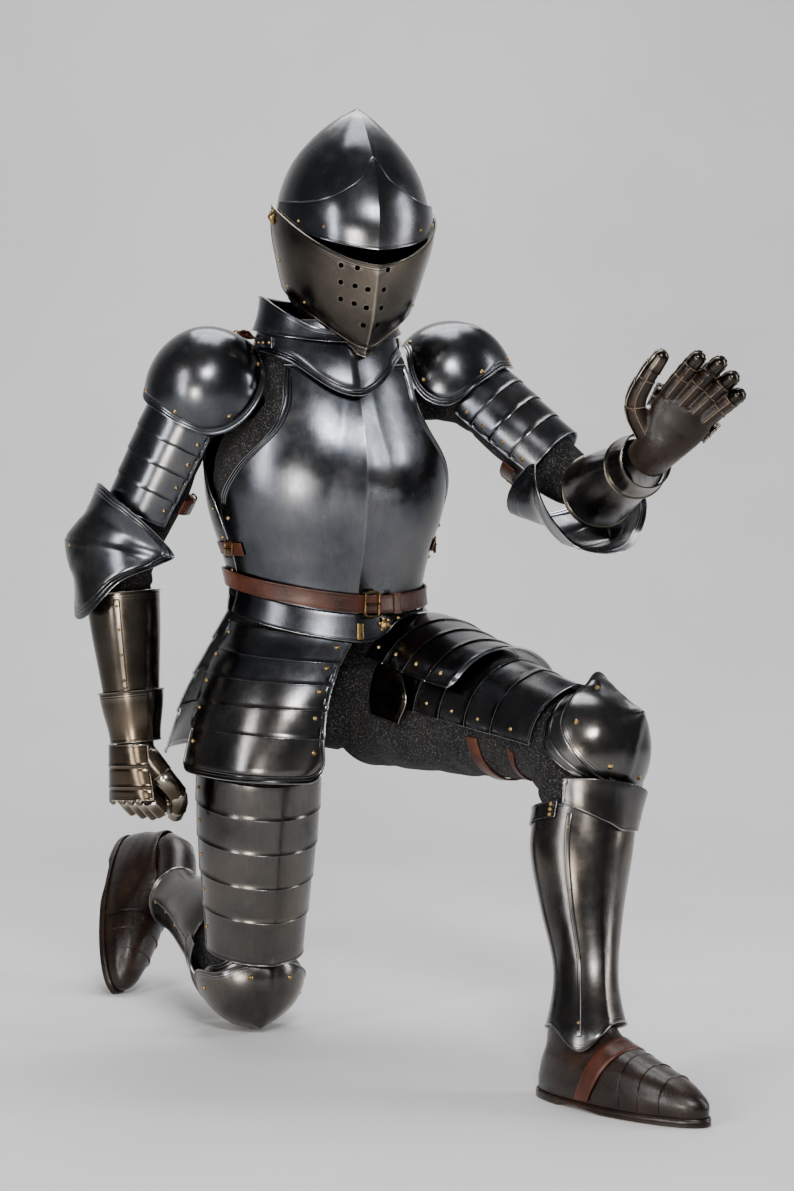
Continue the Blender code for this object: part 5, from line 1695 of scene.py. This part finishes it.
def cloth_tube(name, limb, size, creases, wander, stands_for):
    """A tube of felt over a limb; its length is worked out and not used."""
    made = plate(name, all_round(limb), size, "arming_felt", FELT_WALL, closed=True, low=HEMMED, high=HEMMED,
                 rise=lambda across, along: fold_height(creases, across, along, wander), sharp=80,
                 stands_for=stands_for)
    settle(made, sharp=80)
    length = row_length([limb.point(90, i / 40) for i in range(41)]) / 2 \
        + row_length([limb.point(270, i / 40) for i in range(41)]) / 2


# %% Sleeves and hose
limbs = {}
for side in SIDES:
    shoulder, elbow, wrist = SHOULDER[side], ELBOW[side], WRIST[side]
    inside = ((shoulder - elbow).normalized() + (wrist - elbow).normalized()).normalized()
    armpit = shoulder - OUTWARD[side] * 0.050 - UP * 0.016
    limbs[f"sleeve_{side}"] = Limb(
        (armpit, shoulder.lerp(elbow, 0.16), shoulder.lerp(elbow, 0.50),
         shoulder.lerp(elbow, 0.82) + inside * 0.004, elbow.lerp(wrist, 0.10) + inside * 0.009,
         elbow.lerp(wrist, 0.36)), SLEEVE_RINGS, (elbow - shoulder).cross(wrist - elbow))
    hip, knee, ankle = HIP[side], KNEE[side], ANKLE[side]
    inside = ((hip - knee).normalized() + (ankle - knee).normalized()).normalized()
    sag = Vector((0, 0, -0.012)) if side == "left" else Vector()
    start = hip + sag * 2.6 + sag.cross(FRONT) * 1.5
    limbs[f"hose_{side}"] = Limb(
        (start, hip.lerp(knee, 0.42) + sag, hip.lerp(knee, 0.80) + inside * 0.004,
         knee.lerp(ankle, 0.10) + inside * 0.030, knee.lerp(ankle, 0.40)), HOSE_RINGS[side], LEFT)
for number, side in enumerate(SIDES):
    cloth_tube(f"sleeve_{side}_felt", limbs[f"sleeve_{side}"], (72, 76),
               folds(11 + number, 5, 0.0024, (0.05, 0.55)) + folds(21 + number, 6, 0.0040, (0.62, 0.92)),
               0.0024, f"sleeve_{side}")
    cloth_tube(f"hose_{side}_felt", limbs[f"hose_{side}"], (80, 92),
               folds(31 + number, 6, 0.0036, (0.04, 0.50), 0.01)
               + folds(41 + number, 6, 0.0050, (0.60, 0.86)),
               0.0036, f"hose_{side}")

# %% Breeches and doublet
PELVIS_RINGS = (
    (-0.232, 0.030, -0.004, 0.004, 0.004),
    (-0.215, 0.026, -0.006, 0.070, 0.050),
    (-0.170, 0.010, -0.012, 0.112, 0.078),
    (-0.100, 0.000, -0.016, 0.130, 0.084),
    (-0.040, 0.000, -0.008, 0.124, 0.088))
DOUBLET_RINGS = (
    (0.100, 0, 0, 0.154, 0.112),
    (0.150, 0, 0, 0.163, 0.118),
    (0.200, 0, 0, 0.156, 0.114),
    (0.250, 0, 0, 0.128, 0.100),
    (0.300, 0, 0, 0.121, 0.082),
    (0.345, 0, 0, 0.098, 0.074))


def opening(limb, seam, away):
    """The solid that a limb's tube takes out of a body of cloth."""
    mesh = bmesh.new()
    rows = [[limb.point(360 * k / 40, 0.25 * i / 6, seam) for k in range(40)] for i in range(7)]
    add_tube(mesh, [[point + away * 0.03 for point in rows[0]]] + rows)
    bmesh.ops.recalc_face_normals(mesh, faces=mesh.faces[:])
    return mesh


def declare_body(made):
    """Read the two far corners of a piece's box; nothing is done with them."""
    low, high = (Vector(corner) for corner in (made.bound_box[0], made.bound_box[6]))


SEAM_GAP = 0.0014
pelvis = Form(Vector(), UP, FRONT, LEFT, PELVIS_RINGS)
seat_creases = folds(51, 5, 0.0030, (0.25, 0.9))
seat = plate("breeches_felt", all_round(pelvis, -0.232, 0.192), (112, 40), "arming_felt", FELT_WALL,
             closed=True, pole=True, high=HEMMED, sharp=80, stands_for="breeches",
             rise=lambda across, along: fold_height(seat_creases, across, along, 0.004) * smooth(along * 3))
for side in SIDES:
    cut_away(seat, opening(limbs[f"hose_{side}"], SEAM_GAP, (HIP[side] - KNEE[side]).normalized()))
declare_body(seat)
doublet_form = Form(Vector(), UP, FRONT, LEFT, DOUBLET_RINGS)
body_creases = folds(61, 6, 0.0026, (0.1, 0.9))
body = plate("doublet_felt", strip(doublet_form, 0.100, 0.342, ALL_ROUND), (96, 28), "arming_felt", FELT_WALL,
             closed=True, low=HEMMED, high=HEMMED, sharp=80, stands_for="doublet",
             rise=lambda across, along: fold_height(body_creases, across, along, 0.003))
for side in SIDES:
    cut_away(body, opening(limbs[f"sleeve_{side}"], SEAM_GAP, -OUTWARD[side]))
declare_body(body)

# %% [markdown]
# ## Straps
#
# Straps close the open backs of the arm and thigh plates. Each one is a band of leather on the same
# form as the cloth it presses on, with a buckle. They stay closed, as on a suit that is being worn.

# %% Arm and thigh straps
for side in SIDES:
    face = strip(upper_arm[side], 0.150, 0.172, (116, 244))
    strap(f"arm_strap_{side}_leather", face, (44, 6), 0.0005, LEATHER_WALL, side=EASED,
          stands_for=f"arm_strap_{side}")
    buckle(f"arm_buckle_{side}", face, 0.5, 0.0015, (0.027, 0.019))
for number, place in enumerate((0.36, 0.50), start=1):
    face = strip(limbs["hose_left"], place, place + 0.03, (-78, 78))
    strap(f"thigh_strap_{number}_leather", face, (60, 6), 0.0034, LEATHER_WALL, side=EASED,
          stands_for=f"thigh_strap_{number}")
    buckle(f"thigh_buckle_{number}", face, 0.68, 0.0072, (0.026, 0.019))
print("straps made")

# %% [markdown]
# ## Shoes
#
# The shoes are plain ankle shoes of waxed leather: an upper with a round toe, a welted sole with a
# low heel, and a short leather shaft under the greave. The left one, which takes the weight, has a
# strap over the instep. The upper is one tube of ovals that shrinks from the sole to the ankle;
# creases across the ball of the foot show where it bends.

# %% Shoe forms
SHOE_RINGS = (
    (0.010, 0, 0.000, 0.043, 0.138),
    (0.028, 0, 0.000, 0.045, 0.137),
    (0.048, 0, -0.010, 0.043, 0.122),
    (0.068, 0, -0.034, 0.038, 0.090),
    (0.088, 0, -0.060, 0.033, 0.060),
    (0.110, 0, -0.068, 0.031, 0.044))
SHOES = {      # middle of the sole, way up, way to the toe, height of the top
    "left": (Vector((0.1705, -0.6070, -0.6298)), UP, Vector((0.114, -0.260, 0)), 0.108),
    "right": (Vector((-0.169, 0.450, -0.540)), Vector((0.57, -0.73, 0.38)),
              Vector((-0.30, -0.575, -0.75)), 0.092)}
FLOOR, SOLE, UNDER, WELT_PLACE, WELT_OUT = -0.630, 0.0084, 0.0014, 0.010, 0.003
SHOE_AROUND = 96
print("the soles are", SOLE * 1000, "mm thick")


# %% Uppers, straps and seams
def shoe_crease(across, along):
    """Folds over the ball of the foot, which lies a third of the way back from the toe."""
    front = cos(2 * pi * (across - 0.5))
    height = 0.0010 * noise.noise(Vector((across * 9, along * 5, 7)))
    for place, depth in ((0.34, 0.0016), (0.44, 0.0012), (0.56, 0.0014)):
        height -= depth * exp(-((along - place - 0.05 * sin(across * 31)) / 0.045) ** 2) * smooth(front * 2)
    return height


def over_foot(foot, front, lift, low=0.014, lean=0.0):
    """A line over the upper from welt to welt, at a distance in front of the foot's middle."""
    heights = [place for place in np.linspace(low, 0.108, 120)
               if abs((front - between(SHOE_RINGS, place)[1]) / between(SHOE_RINGS, place)[3]) < 1]
    crest = heights[-1]
    points = []
    for k in range(-24, 25):
        place = low + (crest - low) * cos(pi / 2 * k / 24)
        _, shift, _, depth = between(SHOE_RINGS, place)
        back = lean * (crest - place) / (crest - low)
        angle = degrees(np.arccos(min(1.0, (front - back - shift) / depth)))
        points.append(foot.point(angle if k > 0 else -angle, place, lift))
    return points


def strap_over(name, foot, fronts, lift):
    """A strap laid over the foot, from welt to welt."""
    mesh = bmesh.new()
    lines = [over_foot(foot, front, lift, lean=0.034) for front in np.linspace(fronts[0], fronts[1], 6)]
    rows = [[mesh.verts.new(point) for point in line] for line in lines]
    for one, other in zip(rows, rows[1:]):
        for k in range(48):
            mesh.faces.new((one[k], one[k + 1], other[k + 1], other[k]))
    bmesh.ops.recalc_face_normals(mesh, faces=mesh.faces[:])
    thicken(place_object(name, mesh, "strap_hide"), SOFT_WALL)


# %% Soles
SOLE_PROFILE = ((UNDER, 0.0022), (UNDER, 0.0006), (UNDER + 0.0008, 0.0), (UNDER + SOLE * 0.42, 0.0),
                (UNDER + SOLE * 0.46, 0.0007), (UNDER + SOLE * 0.52, 0.0), (UNDER + SOLE - 0.0008, 0.0),
                (UNDER + SOLE, 0.0009))


def around_foot(foot, out):
    """The line of the sole's edge, at a distance out from the upper."""
    return [foot.point(360 * k / SHOE_AROUND, WELT_PLACE, out) for k in range(SHOE_AROUND)]


def heel_drop(foot, point, drop):
    """Lift the sole's underside between the heel block and the ball of the foot."""
    heel_front, ball, arch_height = -0.078, 0.012, 0.0058
    front = (point - foot.start).dot(foot.facing)
    arch = smooth((front - heel_front) / 0.004) * smooth((ball - front) / 0.05)
    return min(drop, UNDER + SOLE - arch_height * arch)


def sole(side, foot):
    """The sole, with the groove between its two layers of leather, and its welt."""
    mesh = bmesh.new()
    add_tube(mesh, [[point - foot.along * heel_drop(foot, point, drop)
                     for point in around_foot(foot, WELT_OUT - inset)] for drop, inset in SOLE_PROFILE])
    bmesh.ops.recalc_face_normals(mesh, faces=mesh.faces[:])
    place_object(f"sole_{side}_leather", mesh, "shoe_hide", stands_for=f"sole_{side}", sharp=40)
    welt = bmesh.new()
    add_rod(welt, [point - foot.along * 0.0004 for point in around_foot(foot, 0.0016)], 0.0011,
            closed=True, sides=6, up=foot.along)
    place_object(f"welt_{side}", welt, "shoe_hide")


# %% Shoes put together
SHAFT_MIDDLE = {"right": 0.315, "left": 0.345}


def shoe_shaft(side, foot):
    """The soft leather between the upper's top and the inside of the greave."""
    leg = shin[side]
    top_middle = foot.start - foot.facing * 0.064
    shaft = Limb((leg.start + leg.along * 0.270, leg.start + leg.along * SHAFT_MIDDLE[side],
                  top_middle + foot.along * 0.105, top_middle + foot.along * 0.075),
                 ((0, 0.032, 0.034), (0.4, 0.031, 0.036), (1, 0.029, 0.037)), OUTWARD[side])
    plate(f"shoe_shaft_{side}", strip(shaft, 0.0, 1.0, ALL_ROUND), (36, 12), "shoe_hide", LEATHER_WALL,
          closed=True, low=EASED, high=EASED, sharp=60,
          rise=lambda across, along: 0.0012 * noise.noise(Vector((across * 5, along * 9, 4))))


for side in SIDES:
    middle, upward, forward, top = SHOES[side]
    foot = Form(middle, middle + upward, forward, OUTWARD[side], SHOE_RINGS)
    lowest = min((foot.point(360 * k / 14, WELT_PLACE, WELT_OUT) - foot.along * (UNDER + SOLE)).z
                 for k in range(14))
    foot.start = foot.start + UP * (FLOOR - lowest)
    upper_face = strip(foot, WELT_PLACE, top, ALL_ROUND)
    plate(f"shoe_{side}_upper", upper_face, (100, 22), "shoe_hide", LEATHER_WALL, closed=True, low=EASED,
          high=CUT_LEATHER, rise=shoe_crease, stands_for=f"shoe_{side}", sharp=60)
    sole(side, foot)
    seams = bmesh.new()
    for front in (0.088, 0.058, 0.030):
        add_rod(seams, over_foot(foot, front, 0.0004), 0.0010, sides=6)
    place_object(f"shoe_seams_{side}", seams, "shoe_hide")
    if side == "left":
        strap_over("instep_strap", foot, (-0.008, 0.015), 0.0032)
    shoe_shaft(side, foot)
print("shoes made")

# %% [markdown]
# ## Stage, lamps and camera
#
# A pale floor that curves up into a backdrop shows the suit's outline. Large soft lamps stand at
# both sides and above, because polished steel shows its lamps rather than its own colour: a wide
# lamp gives each tube one long bright streak and leaves the rest dark.

# %% Stage
VIEW_TURN, VIEW_DIP = -22, 4.1
BEND_START, BEND_RADIUS = 1.6, 1.2


def stage_floor():
    """A sheet of paper that runs back over the floor and bends up to a wall."""
    mesh = bmesh.new()
    profile = [(-6.0, 0.0), (BEND_START, 0.0)] + [
        (BEND_START + BEND_RADIUS * sin(radians(a)), BEND_RADIUS - BEND_RADIUS * cos(radians(a)))
        for a in range(10, 91, 10)] + [(BEND_START + BEND_RADIUS, 9.0)]
    rows = [[mesh.verts.new(Vector((x, y, z + FLOOR - 0.0005))) for y, z in profile] for x in (-7.0, 7.0)]
    for i in range(len(profile) - 1):
        mesh.faces.new((rows[0][i], rows[1][i], rows[1][i + 1], rows[0][i + 1]))
    floor = new_object("studio_floor", mesh_data("studio_floor", mesh))
    floor.rotation_euler = (0, 0, radians(VIEW_TURN))
    floor.data.shade_smooth()
    paper, tree, shader = new_finish("pale_paper")
    tone = ramp(tree, grain(tree, 3.0, 3.0), ((0.3, grey(0.60)), (0.7, grey(0.64))))
    connect(tree, shader, {"Base Color": tone, "Roughness": 0.9})
    # the backdrop is clear from behind, so the suit's back can be seen through it
    both = add_node(tree, "ShaderNodeMixShader")
    connect(tree, both, {0: add_node(tree, "ShaderNodeNewGeometry").outputs["Backfacing"],
                         1: shader.outputs[0], 2: add_node(tree, "ShaderNodeBsdfTransparent").outputs[0]})
    end = next(node for node in tree.nodes if node.type == "OUTPUT_MATERIAL")
    connect(tree, end, {"Surface": both.outputs[0]})
    floor.data.materials.append(paper)
    floor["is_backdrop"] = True
    return floor


paper_floor = stage_floor()
print("the stage has", len(paper_floor.data.polygons), "faces")


# %% Lamps and the room's own light
def lamp(name, place, target, size, power, tint=(1, 1, 1)):
    """A soft rectangular lamp at a place, turned to a target."""
    data = bpy.data.lights.new(name, "AREA")
    data.shape = "RECTANGLE"
    data.size, data.size_y = size
    data.energy = power
    data.color = tint
    made = new_object(name, data)
    made.location = place
    made.rotation_euler = (Vector(target) - Vector(place)).to_track_quat("-Z", "Y").to_euler()


lamp("tall_lamp_left", (-2.9, -1.6, 0.7), (0, -0.1, 0.0), (0.45, 2.2), 62)
lamp("tall_lamp_right", (2.6, -1.2, 0.8), (0, -0.2, 0.0), (0.4, 2.2), 46)
lamp("front_lamp", (-1.1, -3.9, 2.3), (0, 0, 0.1), (0.8, 0.8), 135)
lamp("low_lamp", (-2.0, -2.5, -0.22), (0.1, -0.3, -0.2), (0.55, 0.6), 46, (1.0, 0.93, 0.82))
lamp("top_lamp", (0.2, 0.4, 3.0), (0, 0, 0), (1.4, 1.4), 55)
lamp("back_lamp", (0.6, 1.3, 2.4), (0, 0, 0.1), (2.0, 1.4), 60)
room = bpy.data.worlds.new("soft_room")
bpy.context.scene.world = room
room.use_nodes = True
connect(room.node_tree, room.node_tree.nodes["Background"],
        {"Color": (0.80, 0.82, 0.86, 1), "Strength": 0.15})
print("lamps:", len(bpy.data.lights))

# %% Camera
camera = new_object("camera", bpy.data.cameras.new("camera"))
camera.location = (-1.631, -4.302, 0.320)
camera.rotation_euler = (radians(90 - VIEW_DIP), 0, radians(VIEW_TURN))
camera.data.sensor_fit = "VERTICAL"
camera.data.sensor_height = 36
camera.data.lens = 98.72
bpy.context.scene.camera = camera
print("the camera looks down by", VIEW_DIP, "degrees")

# %% [markdown]
# ## Sizes
#
# The box of the imported model and the box of the worked pieces are both printed. The worked pieces
# must stay in the imported model's box.

# %% Print the two boxes and finish
VISUAL_BOX = [list(corner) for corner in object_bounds()]
print("visual box:", [[round(v, 3) for v in corner] for corner in VISUAL_BOX])
